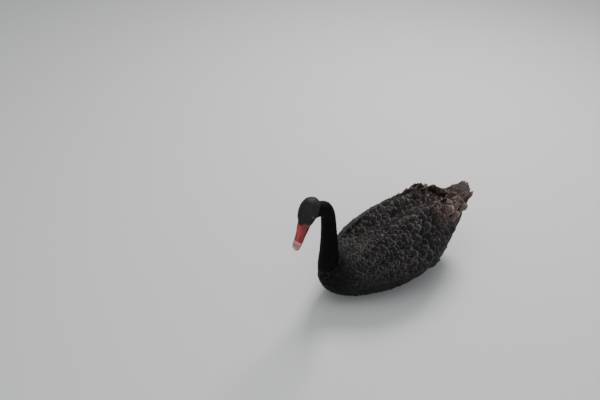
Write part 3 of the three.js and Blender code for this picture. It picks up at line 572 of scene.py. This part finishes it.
primaries = {}
for ci, (nm, sd) in enumerate((('left', 1), ('right', -1))):
    ws = Surf(wing_grid(sd, 0))
    # painted shadow: loose feathers lying in the hollow under the rear wing feathers are tinted near-black
    items, cols = ruffled(ws, 0.60, 0.93, 15.0, lambda u: 46 + 16 * (u - 0.6) / 0.33, lambda u: 27 + 7 * (u - 0.6) / 0.33, 7, 26,
                          lambda q, n0, u: n0[2] > -0.25 and (n0[0] * sd > -0.55 or q[2] > 205) and not (q[1] > 96 and q[2] < 206) and q[2] > 168,
                          lambda q, u: (BLACK * 0.5 if 96 < q[1] < 168 and q[2] < 218 and q[0] * sd > 40 else mixc(GREY * 0.9, BROWN * 1.35, np.array((q[1] - 20) / 130.0 + (q[2] - 205) / 70.0))), turn=14)
    for (x, y, z, lg, wd, rise, turn, curl) in TERTIALS:
        q = math.radians(turn + rng.uniform(-6, 6)); e = math.radians(rise)
        T = (sd * math.sin(q) * math.cos(e), math.cos(q) * math.cos(e), math.sin(e))
        items.append(big_vane((sd * (x + 2), y - 6, z - 2), T, (math.cos(q), -sd * math.sin(q), -sd * 0.12), lg * rng.uniform(0.90, 1.0), wd * 0.92,
                              curl * rng.uniform(0.8, 1.1), cup=0.2, wave=1.8, split=0.10))
        cols.append(mixc(BROWN * 0.8, BROWN * 1.5, rng.random()))
    # one broad, pale, tightly curled feather on the outside, over a hollow darkened with painted shadow
    for (x, y, z, lg, wd, rs, tn_, cl, k_) in ((61, 78, 233, 76, 34, -4, 3, 40, 2.3), (58, 100, 236, 60, 28, 0, -2, 34, 1.8), (67, 56, 222, 60, 28, 0, 6, 26, 1.6), (54, 128, 224, 52, 26, -2, -3, 40, 2.0)):
        q = math.radians(tn_); e = math.radians(rs); T = (sd * math.sin(q) * math.cos(e), math.cos(q) * math.cos(e), math.sin(e))
        items.append(big_vane((sd * x, y, z), T, (0.55 * math.cos(q), 0, -sd * 0.83), lg, wd, cl, cup=0.26, wave=1.6, split=0.07, out=(sd * 0.83, 0, 0.55)))
        cols.append(BROWN * k_)
    # lower row of long inner flight feathers that close the wing's rear end
    for i in range(11):
        t = i / 10
        r = np.array([sd * (86 - 34 * t), 42 + 52 * t, 150 + 44 * t])
        tgt = np.array([sd * (60 - 18 * t), 168 + 46 * t, 176 + 22 * t]) + rng.normal(0, 3, 3) * [0.6, 1, 0.6]; T = tgt - r
        items.append(big_vane(r, T, (0.45 * sd, 0.0, -0.9), np.linalg.norm(T) * 0.98, 24, 6 + 10 * rng.random(), cup=0.18, wave=1.2, split=0.09, out=(sd, 0, 0.3)))
        cols.append(mixc(COAL * 0.6, BROWN * 0.5, t) * rng.uniform(0.5, 1.1))
    ob = join_big(f"curled_feathers_{nm}", items, cols, ci)
    coat.append(ob)
    items, cols = [], []
    for i in range(4):
        off = np.array([sd * (2.0 * i), -8 * i, -5.5 * i + 4])
        r = PRIMARY_ROOT * [sd, 1, 1] + off; tgt = (PRIMARY_TIP + [4, 2, 2]) * [sd, 1, 1] + off; T = tgt - r
        items.append(big_vane(r, T, (0.35 * sd, 0.0, -0.94), np.linalg.norm(T), 15, 4, nv=8, cup=0.1, wave=0.3, split=0.03, tipn=2.0, thick=0.5, out=(sd, 0, 0.3)))
        cols.append((0.62, 0.60, 0.56))
    primaries[nm] = join_big(f"white_primaries_{nm}", items, cols, 4 + ci, edge=0.0)

# tail: a fan of broad, worn feathers, with shorter loose rows over and under their roots
items, cols = [], []
for i in range(16):
    t = (i - 7.5) / 7.5; L_ = rng.uniform(0.90, 1.03)
    r = np.array([15 * t, 194, 188 - 6 * t * t - 2.0 * abs(t)]); tgt = np.array([39 * t, 288 - 16 * t * t, 233 - 10 * t * t + rng.normal(0, 2.0)]); T = tgt - r
    items.append(big_vane(r, T, (1, -0.35 * t + rng.normal(0, 0.05), -0.16 * t + rng.normal(0, 0.16)), np.linalg.norm(T) * L_, 19, 9 * rng.random(), nv=10, cup=0.18, wave=1.6, split=0.12, tipn=4.5))
    cols.append(mixc(BROWN * 0.6, BROWN * 1.15, rng.random()))
for row, (y0, y1, z0, z1, n_, spread) in enumerate(((186, 262, 192, 220, 11, 32), (178, 242, 194, 213, 9, 27), (172, 222, 194, 206, 7, 22))):
    for i in range(n_):
        t = (i - (n_ - 1) / 2) / ((n_ - 1) / 2) + rng.normal(0, 0.05)
        r = np.array([0.45 * spread * t, y0, z0 - 5 * t * t]); tgt = np.array([spread * t, y1 - 9 * t * t + rng.normal(0, 4), z1 - 8 * t * t + rng.normal(0, 2)]); T = tgt - r
        items.append(big_vane(r, T, (1, -0.3 * t, -0.12 * t + rng.normal(0, 0.2)), np.linalg.norm(T), 22, 6 + 22 * rng.random(), nv=10, cup=0.22, wave=1.8, split=0.12, tipn=3.2))
        cols.append(mixc(BROWN * 0.6, BROWN * 1.2, rng.random()))
for row, (y0, y1, z0, z1, n_, spread) in enumerate(((205, 268, 176, 206, 9, 33), (196, 246, 170, 188, 8, 30))):
    for i in range(n_):      # under the fan
        t = (i - (n_ - 1) / 2) / ((n_ - 1) / 2)
        r = np.array([0.6 * spread * t, y0, z0 - 4 * t * t]); tgt = np.array([spread * t, y1 - 12 * t * t, z1 - 8 * t * t + rng.normal(0, 2)]); T = tgt - r
        items.append(big_vane(r, T, (1, -0.3 * t, -0.12 * t + rng.normal(0, 0.15)), np.linalg.norm(T), 24, -4, nv=10, cup=0.2, wave=1.4, split=0.10, tipn=2.8))
        cols.append(COAL * rng.uniform(0.9, 1.5))
tail = join_big("tail_feathers", items, cols, 2)
coat.append(tail)


# ------------------------------------------------------------------ materials
def nodes_of(name):
    m = bpy.data.materials.new(name); m.use_nodes = True
    nt = m.node_tree; b = nt.nodes.get('Principled BSDF')
    return m, nt, b


def N(nt, kind, **kw):
    n = nt.nodes.new(kind)
    for k_, v_ in kw.items():
        if k_.startswith('i_'): n.inputs[k_[2:].replace('_', ' ')].default_value = v_
        else: setattr(n, k_, v_)
    return n


def math_node(nt, op, a, b=None, c=None, clamp=False):
    n = nt.nodes.new('ShaderNodeMath'); n.operation = op; n.use_clamp = clamp
    for i, v in enumerate((a, b, c)):
        if v is None: continue
        if isinstance(v, (int, float)): n.inputs[i].default_value = v
        else: nt.links.new(v, n.inputs[i])
    return n.outputs[0]


def mix_col(nt, fac, a, b, mode='MIX'):
    n = nt.nodes.new('ShaderNodeMix'); n.data_type = 'RGBA'; n.blend_type = mode
    for sock, v in ((n.inputs[0], fac), (n.inputs[6], a), (n.inputs[7], b)):
        if isinstance(v, (int, float)): sock.default_value = v
        elif isinstance(v, tuple): sock.default_value = v
        else: nt.links.new(v, sock)
    return n.outputs[2]


def plumage_material(name, rough=0.66, sheen=0.03, edge_gain=6.5, edge_add=0.014, barbs=26.0, bump=0.30, spec=0.16, root_shade=0.22):
    m, nt, b = nodes_of(name); L = nt.links.new
    tn = N(nt, 'ShaderNodeAttribute', attribute_name='tone'); rd = N(nt, 'ShaderNodeAttribute', attribute_name='rnd')
    eg = N(nt, 'ShaderNodeAttribute', attribute_name='edge')
    uv = N(nt, 'ShaderNodeUVMap', uv_map='Vane'); sep = N(nt, 'ShaderNodeSeparateXYZ'); L(uv.outputs[0], sep.inputs[0])
    a = math_node(nt, 'ABSOLUTE', math_node(nt, 'SUBTRACT', math_node(nt, 'MULTIPLY', sep.outputs[0], 2.0), 1.0))
    s = sep.outputs[1]
    def soft(v, lo, hi):
        r_ = N(nt, 'ShaderNodeMapRange', interpolation_type='SMOOTHSTEP'); L(v, r_.inputs[0])
        r_.inputs[1].default_value = lo; r_.inputs[2].default_value = hi
        return r_.outputs[0]
    side = math_node(nt, 'MULTIPLY', soft(a, 0.70, 0.97), soft(s, 0.35, 0.75))
    em = math_node(nt, 'MAXIMUM', side, soft(s, 0.85, 0.965), clamp=True)
    tc = N(nt, 'ShaderNodeTexCoord'); nz = N(nt, 'ShaderNodeTexNoise', i_Scale=240.0, i_Detail=4.0, i_Roughness=0.6); L(tc.outputs['Object'], nz.inputs['Vector'])
    nz2 = N(nt, 'ShaderNodeTexNoise', i_Scale=28.0, i_Detail=3.0); L(tc.outputs['Object'], nz2.inputs['Vector'])
    em = math_node(nt, 'MULTIPLY', em, math_node(nt, 'MULTIPLY_ADD', nz.outputs[0], 1.3, 0.15), clamp=True)
    em = math_node(nt, 'MULTIPLY', em, eg.outputs['Fac'], clamp=True)
    # barbs: fine lines that run out and forward from the shaft
    ph = math_node(nt, 'SUBTRACT', math_node(nt, 'MULTIPLY', s, barbs), math_node(nt, 'MULTIPLY', a, barbs * 0.45))
    ph = math_node(nt, 'ADD', ph, math_node(nt, 'MULTIPLY', nz.outputs[0], 1.5))
    ln = math_node(nt, 'SINE', math_node(nt, 'MULTIPLY', ph, 6.2832))
    bright = math_node(nt, 'MULTIPLY_ADD', ln, 0.12, math_node(nt, 'MULTIPLY_ADD', nz2.outputs[0], 0.7, 0.65))
    # painted shade: each vane is darkened towards its root, where the feather above covers it
    root_shade_ramp = N(nt, 'ShaderNodeMapRange', interpolation_type='SMOOTHSTEP'); L(s, root_shade_ramp.inputs[0])
    for i_, v_ in enumerate((0.42, 0.72, root_shade, 1.0)): root_shade_ramp.inputs[i_ + 1].default_value = v_
    bright = math_node(nt, 'MULTIPLY', bright, root_shade_ramp.outputs[0])
    shaft = math_node(nt, 'LESS_THAN', a, 0.05)
    edge = N(nt, 'ShaderNodeVectorMath', operation='MULTIPLY_ADD'); L(tn.outputs['Color'], edge.inputs[0])
    edge.inputs[1].default_value = (edge_gain,) * 3; edge.inputs[2].default_value = (edge_add, edge_add * 0.95, edge_add * 0.93)
    c = mix_col(nt, em, tn.outputs['Color'], edge.outputs[0])
    sc = N(nt, 'ShaderNodeVectorMath', operation='SCALE'); L(c, sc.inputs[0]); L(bright, sc.inputs['Scale'])
    c = mix_col(nt, math_node(nt, 'MULTIPLY', shaft, 0.35), sc.outputs[0], (0.006, 0.0055, 0.005, 1))
    L(c, b.inputs['Base Color'])
    rg = math_node(nt, 'MULTIPLY_ADD', rd.outputs['Fac'], 0.12, rough - 0.06); L(rg, b.inputs['Roughness'])
    b.inputs['Specular IOR Level'].default_value = spec
    b.inputs['Sheen Weight'].default_value = sheen; b.inputs['Sheen Roughness'].default_value = 0.45
    b.inputs['Sheen Tint'].default_value = (0.55, 0.52, 0.50, 1)
    bp = N(nt, 'ShaderNodeBump', i_Strength=bump, i_Distance=0.0004)
    L(math_node(nt, 'ADD', math_node(nt, 'MULTIPLY', ln, 0.5), math_node(nt, 'MULTIPLY', nz.outputs[0], 0.6)), bp.inputs['Height'])
    L(bp.outputs[0], b.inputs['Normal'])
    return m


MAT_BODY = plumage_material("plumage_body")
MAT_NECK = plumage_material("plumage_neck", rough=0.6, sheen=0.0, edge_gain=1.4, edge_add=0.003, barbs=12, bump=0.25, spec=0.06, root_shade=0.6)
MAT_HEAD = plumage_material("plumage_head", rough=0.6, sheen=0.04, edge_gain=4.5, edge_add=0.010, barbs=12, bump=0.35, spec=0.2, root_shade=0.5)
MAT_BIG = plumage_material("plumage_large", rough=0.56, sheen=0.10, edge_gain=3.2, edge_add=0.020, barbs=60, bump=0.3, root_shade=0.35)
MAT_WHITE = plumage_material("plumage_white", rough=0.6, sheen=0.1, edge_gain=1.0, edge_add=0.0, barbs=60, bump=0.2, root_shade=0.9)

m, nt, b = nodes_of("skin_under"); MAT_SKIN = m
tn = N(nt, 'ShaderNodeAttribute', attribute_name='tone'); tc = N(nt, 'ShaderNodeTexCoord')
nz = N(nt, 'ShaderNodeTexNoise', i_Scale=420.0, i_Detail=3.0); nt.links.new(tc.outputs['Object'], nz.inputs['Vector'])
sc = N(nt, 'ShaderNodeVectorMath', operation='SCALE'); nt.links.new(tn.outputs['Color'], sc.inputs[0])
nt.links.new(math_node(nt, 'MULTIPLY_ADD', nz.outputs[0], 0.8, 0.6), sc.inputs['Scale']); nt.links.new(sc.outputs[0], b.inputs['Base Color'])
b.inputs['Roughness'].default_value = 0.7
bp = N(nt, 'ShaderNodeBump', i_Strength=0.4, i_Distance=0.0004); nt.links.new(nz.outputs[0], bp.inputs['Height']); nt.links.new(bp.outputs[0], b.inputs['Normal'])


def tinted_material(name, rough, coat_w=0.0, bump=0.15, scale=300.0, bdist=0.0003, spec=0.45):
    m, nt, b = nodes_of(name)
    tn = N(nt, 'ShaderNodeAttribute', attribute_name='tone'); tc = N(nt, 'ShaderNodeTexCoord')
    nz = N(nt, 'ShaderNodeTexNoise', i_Scale=scale, i_Detail=5.0, i_Roughness=0.6); nt.links.new(tc.outputs['Object'], nz.inputs['Vector'])
    n2 = N(nt, 'ShaderNodeTexNoise', i_Scale=scale * 0.16, i_Detail=2.0); nt.links.new(tc.outputs['Object'], n2.inputs['Vector'])
    sc = N(nt, 'ShaderNodeVectorMath', operation='SCALE'); nt.links.new(tn.outputs['Color'], sc.inputs[0])
    f = math_node(nt, 'ADD', math_node(nt, 'MULTIPLY_ADD', nz.outputs[0], 0.30, 0.60), math_node(nt, 'MULTIPLY', n2.outputs[0], 0.5))
    nt.links.new(f, sc.inputs['Scale']); nt.links.new(sc.outputs[0], b.inputs['Base Color'])
    nt.links.new(math_node(nt, 'MULTIPLY_ADD', n2.outputs[0], 0.25, rough - 0.12), b.inputs['Roughness'])
    b.inputs['Specular IOR Level'].default_value = spec; b.inputs['Coat Weight'].default_value = coat_w; b.inputs['Coat Roughness'].default_value = 0.12
    bp = N(nt, 'ShaderNodeBump', i_Strength=bump, i_Distance=bdist); nt.links.new(nz.outputs[0], bp.inputs['Height']); nt.links.new(bp.outputs[0], b.inputs['Normal'])
    return m


MAT_BILL = tinted_material("bill_horn", 0.36, coat_w=0.15)
MAT_EYE = tinted_material("eye_wet", 0.16, coat_w=0.5, bump=0.0)
MAT_LID = tinted_material("lid_skin", 0.5)

# legs: scaled skin
m, nt, b = nodes_of("leg_scales"); MAT_LEG = m
tc = N(nt, 'ShaderNodeTexCoord'); vo = N(nt, 'ShaderNodeTexVoronoi', i_Scale=330.0); nt.links.new(tc.outputs['Object'], vo.inputs['Vector'])
nz = N(nt, 'ShaderNodeTexNoise', i_Scale=60.0, i_Detail=4.0); nt.links.new(tc.outputs['Object'], nz.inputs['Vector'])
c = mix_col(nt, nz.outputs[0], (0.014, 0.014, 0.015, 1), (0.05, 0.046, 0.044, 1)); nt.links.new(c, b.inputs['Base Color'])
b.inputs['Roughness'].default_value = 0.55
bp = N(nt, 'ShaderNodeBump', i_Strength=0.6, i_Distance=0.0006); nt.links.new(vo.outputs[0], bp.inputs['Height']); nt.links.new(bp.outputs[0], b.inputs['Normal'])

# ----------------------------------------------------------------------- bill
def bill_piece(name, rows, upper):
    nu, nv = 110, 96
    k, a = grid(nu, nv, ends=False)
    k = 1 - (1 - k) ** 1.25
    f = rows[0, 0] + (rows[-1, 0] - rows[0, 0]) * k
    w = size(rows, rows[:, 1])(f); top, bot = column(rows, rows[:, 2])(f), column(rows, rows[:, 3])(f)
    h = (top - bot) / 2; n = 2.3
    l = w * spow(np.cos(a), 2 / n); u = (top + bot) / 2 + np.where(w > 0.01, h, 0) * spow(np.sin(a), 2 / n)
    if upper:
        rel = np.clip(np.sin(a), 0, 1)
        for sgn in (1, -1):      # nostrils: long oval hollows on each side of the ridge
            d = np.exp(-(((f - 31) / 5.2) ** 2 + ((l - sgn * 6.4) / 1.5) ** 2)) * (u > -4)
            u = u - 1.7 * d
            d2 = np.exp(-(((f - 30) / 7.5) ** 2 + ((l - sgn * 7.2) / 3.2) ** 2)) * (u > -4)
            u = u + 0.5 * d2
            u = u - 0.5 * np.exp(-(((f - 14) / 12) ** 2 + ((l - sgn * 7.5) / 3.0) ** 2)) * rel
        u = u + 0.9 * np.exp(-((f - 66) / 5.0) ** 2 - (l / 5.2) ** 2) * rel      # nail
        u = u - 0.45 * np.exp(-((f - 59.5) / 1.0) ** 2) * np.exp(-(l / 5.5) ** 2) * rel
        l = l * (1 + 0.02 * np.exp(-((u + 7.0) / 1.2) ** 2))                      # cutting edge
    P = in_head(f, l, u)
    V, T = grid_solid(P)
    fv = np.concatenate([f.ravel(), [rows[0, 0], rows[-1, 0]]]); lv = np.concatenate([l.ravel(), [0, 0]]); uv = np.concatenate([u.ravel(), [0, 0]])
    c = np.broadcast_to(RED, V.shape).copy()
    c = mixc(c, RED * [0.55, 0.6, 0.6], sstep(16, -2, fv) * 0.6)
    band = sstep(44.5, 47, fv) * sstep(54, 51, fv)
    c = mixc(c, PINK * [0.86, 0.62, 0.66], sstep(49, 56, fv))
    c = mixc(c, np.array([0.56, 0.40, 0.40]), band * 0.7)
    c = mixc(c, np.array([0.47, 0.33, 0.33]), sstep(60.5, 63, fv) * sstep(6.6, 3.6, np.abs(lv)) * 0.5)
    # painted highlight along the centre of the culmen and painted shade on the bill's sides
    c = c * (1 + 0.55 * np.exp(-(lv / 3.6) ** 2) * (fv < 46) - 0.42 * sstep(7.0, 11.5, np.abs(lv)) * (fv < 48))[:, None]
    if upper:
        # painted shade: the nostril openings are darkened to stand in for the dark inside the holes
        for sgn in (1, -1): c = mixc(c, np.array([0.03, 0.004, 0.005]), np.exp(-(((fv - 31) / 4.2) ** 2 + ((lv - sgn * 6.4) / 1.1) ** 2)) * (uv > -4) * 1.1)
        # painted shade along the crease at the cutting edge
        c = mixc(c, c * 0.6, np.exp(-((uv + 7.3) / 0.7) ** 2) * 0.8)
    ob = make_mesh(name, to_m(V), T, attrs={'tone': c})
    ob.data.materials.append(MAT_BILL)
    return ob


bill_u = bill_piece("bill_upper_horn", BILL_UPPER, True)
bill_l = bill_piece("bill_lower_horn", BILL_LOWER, False)


# ------------------------------------------------------------- eyes with lids
def ball(name, c, axis, r, mat):
    nu, nv = 48, 64
    ax = axis / np.linalg.norm(axis); X = np.cross(ax, HF); X /= np.linalg.norm(X); Y = np.cross(ax, X)
    th, a = np.meshgrid(np.linspace(0, np.pi, nu + 1), np.linspace(0, 2 * np.pi, nv, endpoint=False), indexing='ij')
    bulge = r * (1 + 0.05 * np.exp(-(th / 0.45) ** 2))
    P = c + (bulge * np.cos(th))[..., None] * ax + (bulge * np.sin(th) * np.cos(a))[..., None] * X + (bulge * np.sin(th) * np.sin(a))[..., None] * Y
    V, T = grid_solid(P); d = (V - c) @ ax / np.maximum(np.linalg.norm(V - c, axis=1), 1e-6); ang = np.degrees(np.arccos(np.clip(d, -1, 1)))
    col = mixc(np.array([0.10, 0.008, 0.007]), np.array([0.02, 0.004, 0.004]), sstep(30, 44, ang))
    col = mixc(np.array([0.0015, 0.0015, 0.0015]), col, sstep(17, 20, ang))
    col = mixc(col, np.array([0.02, 0.012, 0.01]), sstep(44, 50, ang))
    ob = make_mesh(name, to_m(V), T, attrs={'tone': col}); ob.data.materials.append(mat)
    return ob


def lid(name, c, axis, r):
    ax = axis / np.linalg.norm(axis); X = HF - ax * (HF @ ax); X /= np.linalg.norm(X); Y = np.cross(ax, X)
    nu, nv = 64, 16; u_, a = np.meshgrid(np.linspace(0, 2 * np.pi, nu, endpoint=False), np.linspace(0, 2 * np.pi, nv, endpoint=False), indexing='ij')
    R = r * 0.93 * (1 + 0.07 * np.cos(2 * u_)); tube = 0.95 + 0.15 * np.sin(7 * u_)
    out = R + tube * np.cos(a)
    P = (c + (r * 0.42 + tube * np.sin(a))[..., None] * ax + (out * np.cos(u_))[..., None] * X + (out * np.sin(u_) * 0.9)[..., None] * Y)
    i, j = np.meshgrid(np.arange(nu), np.arange(nv), indexing='ij'); i2, j2 = (i + 1) % nu, (j + 1) % nv
    F = np.stack([i * nv + j, i2 * nv + j, i2 * nv + j2, i * nv + j2], -1).reshape(-1, 4)
    V = P.reshape(-1, 3)
    A, B, C = V[F[:, 0]], V[F[:, 1]], V[F[:, 2]]
    if np.einsum('ij,ij->', A - c, np.cross(B - c, C - c)) < 0: F = F[:, ::-1]
    cc = np.broadcast_to(np.array([0.010, 0.006, 0.006]), V.shape)
    ob = make_mesh(name, to_m(V), F, attrs={'tone': cc}); ob.data.materials.append(MAT_LID)
    return ob


eyes, lids = {}, []
for (nm, sd), c in zip((('left', 1), ('right', -1)), EYES):
    ax = HL * sd * 0.93 + HU * 0.16 + HF * 0.22
    eyes[nm] = ball(f"eye_ball_{nm}", c, ax, EYE['radius'], MAT_EYE)
    lids.append(lid(f"eyelid_{nm}", c, ax, EYE['radius']))


# ------------------------------------------------------------- legs and feet
def refined(name, node, voxel, smooth):
    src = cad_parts[node]; dg = bpy.context.evaluated_depsgraph_get()
    me = bpy.data.meshes.new_from_object(src.evaluated_get(dg)); me.transform(src.matrix_world)
    me.materials.clear()
    tmp = bpy.data.objects.new(name + "_raw", me); scene.collection.objects.link(tmp)
    r = tmp.modifiers.new("r", 'REMESH'); r.mode = 'VOXEL'; r.voxel_size = voxel
    s = tmp.modifiers.new("s", 'SMOOTH'); s.factor = 0.5; s.iterations = smooth
    dg = bpy.context.evaluated_depsgraph_get()
    m2 = bpy.data.meshes.new_from_object(tmp.evaluated_get(dg)); bpy.data.objects.remove(tmp, do_unlink=True)
    v = coords(m2); v[:, 2] = np.maximum(v[:, 2], 0.0)
    m2.vertices.foreach_set('co', v.astype(np.float32).ravel()); m2.update()
    ob = bpy.data.objects.new(name, m2); scene.collection.objects.link(ob)
    m2.polygons.foreach_set('use_smooth', np.ones(len(m2.polygons), bool)); m2.materials.clear(); m2.materials.append(MAT_LEG)
    return ob


legs = {n: refined(n + "_skin", n, 0.0009, 3) for n in ("foot_left", "foot_right", "leg_left", "leg_right")}

# --------------------------------------------------- bodies, slots, replacing
FLESH = ["trunk", "neck_lower", "neck_middle", "neck_upper", "head", "wing_left", "wing_right", "tail"]
skin.data.materials.clear(); skin.data.materials.append(MAT_SKIN)
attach(skin, "root"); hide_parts(*FLESH)
for ob in coat:
    mat = MAT_HEAD if ob.name.startswith("plumes_head") else MAT_NECK if ob.name.startswith("plumes_neck") else MAT_BIG if ob.name.startswith(("curled", "tail")) else MAT_BODY
    ob.data.materials.append(mat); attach(ob, "root")
for nm in ('left', 'right'):
    primaries[nm].data.materials.append(MAT_WHITE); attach(primaries[nm], "root"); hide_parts(f"primaries_{nm}")
    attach(eyes[nm], "root"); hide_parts(f"eye_{nm}")
for o in lids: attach(o, "root")
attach(bill_u, "root"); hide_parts("bill_upper")
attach(bill_l, "root"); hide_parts("bill_lower")
for n_, o in legs.items(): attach(o, "root"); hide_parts(n_)

# ------------------------------------------------------- floor, light, camera
bpy.ops.mesh.primitive_plane_add(size=14, location=(0, 0, 0)); floor = bpy.context.object; floor.name = "floor"
m, nt, b = nodes_of("floor_pale"); b.inputs['Base Color'].default_value = (0.56, 0.57, 0.56, 1); b.inputs['Roughness'].default_value = 0.75
floor.data.materials.append(m)
w = bpy.data.worlds.new("studio"); scene.world = w; w.use_nodes = True
bg = w.node_tree.nodes['Background']; bg.inputs[0].default_value = (0.86, 0.89, 0.93, 1); bg.inputs[1].default_value = 0.42


def area(name, at, to, sz, power, color=(1, 1, 1)):
    d = bpy.data.lights.new(name, 'AREA'); d.energy = power; d.size = sz; d.color = color
    o = bpy.data.objects.new(name, d); scene.collection.objects.link(o); o.location = at
    o.rotation_euler = (Vector(to) - Vector(at)).to_track_quat('-Z', 'Y').to_euler()


area("key", (-1.1, 1.5, 2.4), (0, 0, 0.15), 1.1, 85, (1.0, 0.985, 0.96))
area("fill", (2.6, -1.8, 2.2), (0, 0, 0.15), 2.0, 30, (0.95, 0.97, 1.0))
area("top", (0.2, -0.6, 3.2), (0, 0, 0.1), 2.4, 40)

A, e, Dm, roll, target, pix, fpx = math.radians(51), math.radians(43), 2100.0, math.radians(5.0), np.array([0, -285, 65.0]), (320, 287), 703.5
back = np.array([math.sin(A) * math.cos(e), -math.cos(A) * math.cos(e), math.sin(e)]); C = target + back * Dm
rr = np.array([math.cos(A), math.sin(A), 0]); fw = -back; uu = np.cross(rr, fw); M = np.stack([rr, uu, -fw])
d = np.array([pix[0] - 300, -(pix[1] - 200), -fpx]); d /= np.linalg.norm(d); z = np.array([0, 0, -1.0]); v = np.cross(z, d); cc = z @ d
K = np.array([[0, -v[2], v[1]], [v[2], 0, -v[0]], [-v[1], v[0], 0]]); R = np.eye(3) + K + K @ K / (1 + cc)
Z = np.array([[math.cos(roll), math.sin(roll), 0], [-math.sin(roll), math.cos(roll), 0], [0, 0, 1]])
M = R @ Z @ M
cam_d = bpy.data.cameras.new("camera"); cam = bpy.data.objects.new("camera", cam_d); scene.collection.objects.link(cam)
cam_d.sensor_fit = 'HORIZONTAL'; cam_d.sensor_width = 36; cam_d.lens = fpx / 600 * 36; cam_d.dof.use_dof = False; cam_d.clip_end = 60
mw = Matrix(((M[0][0], M[1][0], M[2][0]), (M[0][1], M[1][1], M[2][1]), (M[0][2], M[1][2], M[2][2]))).to_4x4()
mw.translation = Vector(to_m(C)); cam.matrix_world = mw
scene.camera = cam

tri = {o.name: sum(len(p.vertices) - 2 for p in o.data.polygons) for o in coat + [skin]}
print("TRIS", tri, sum(tri.values()))
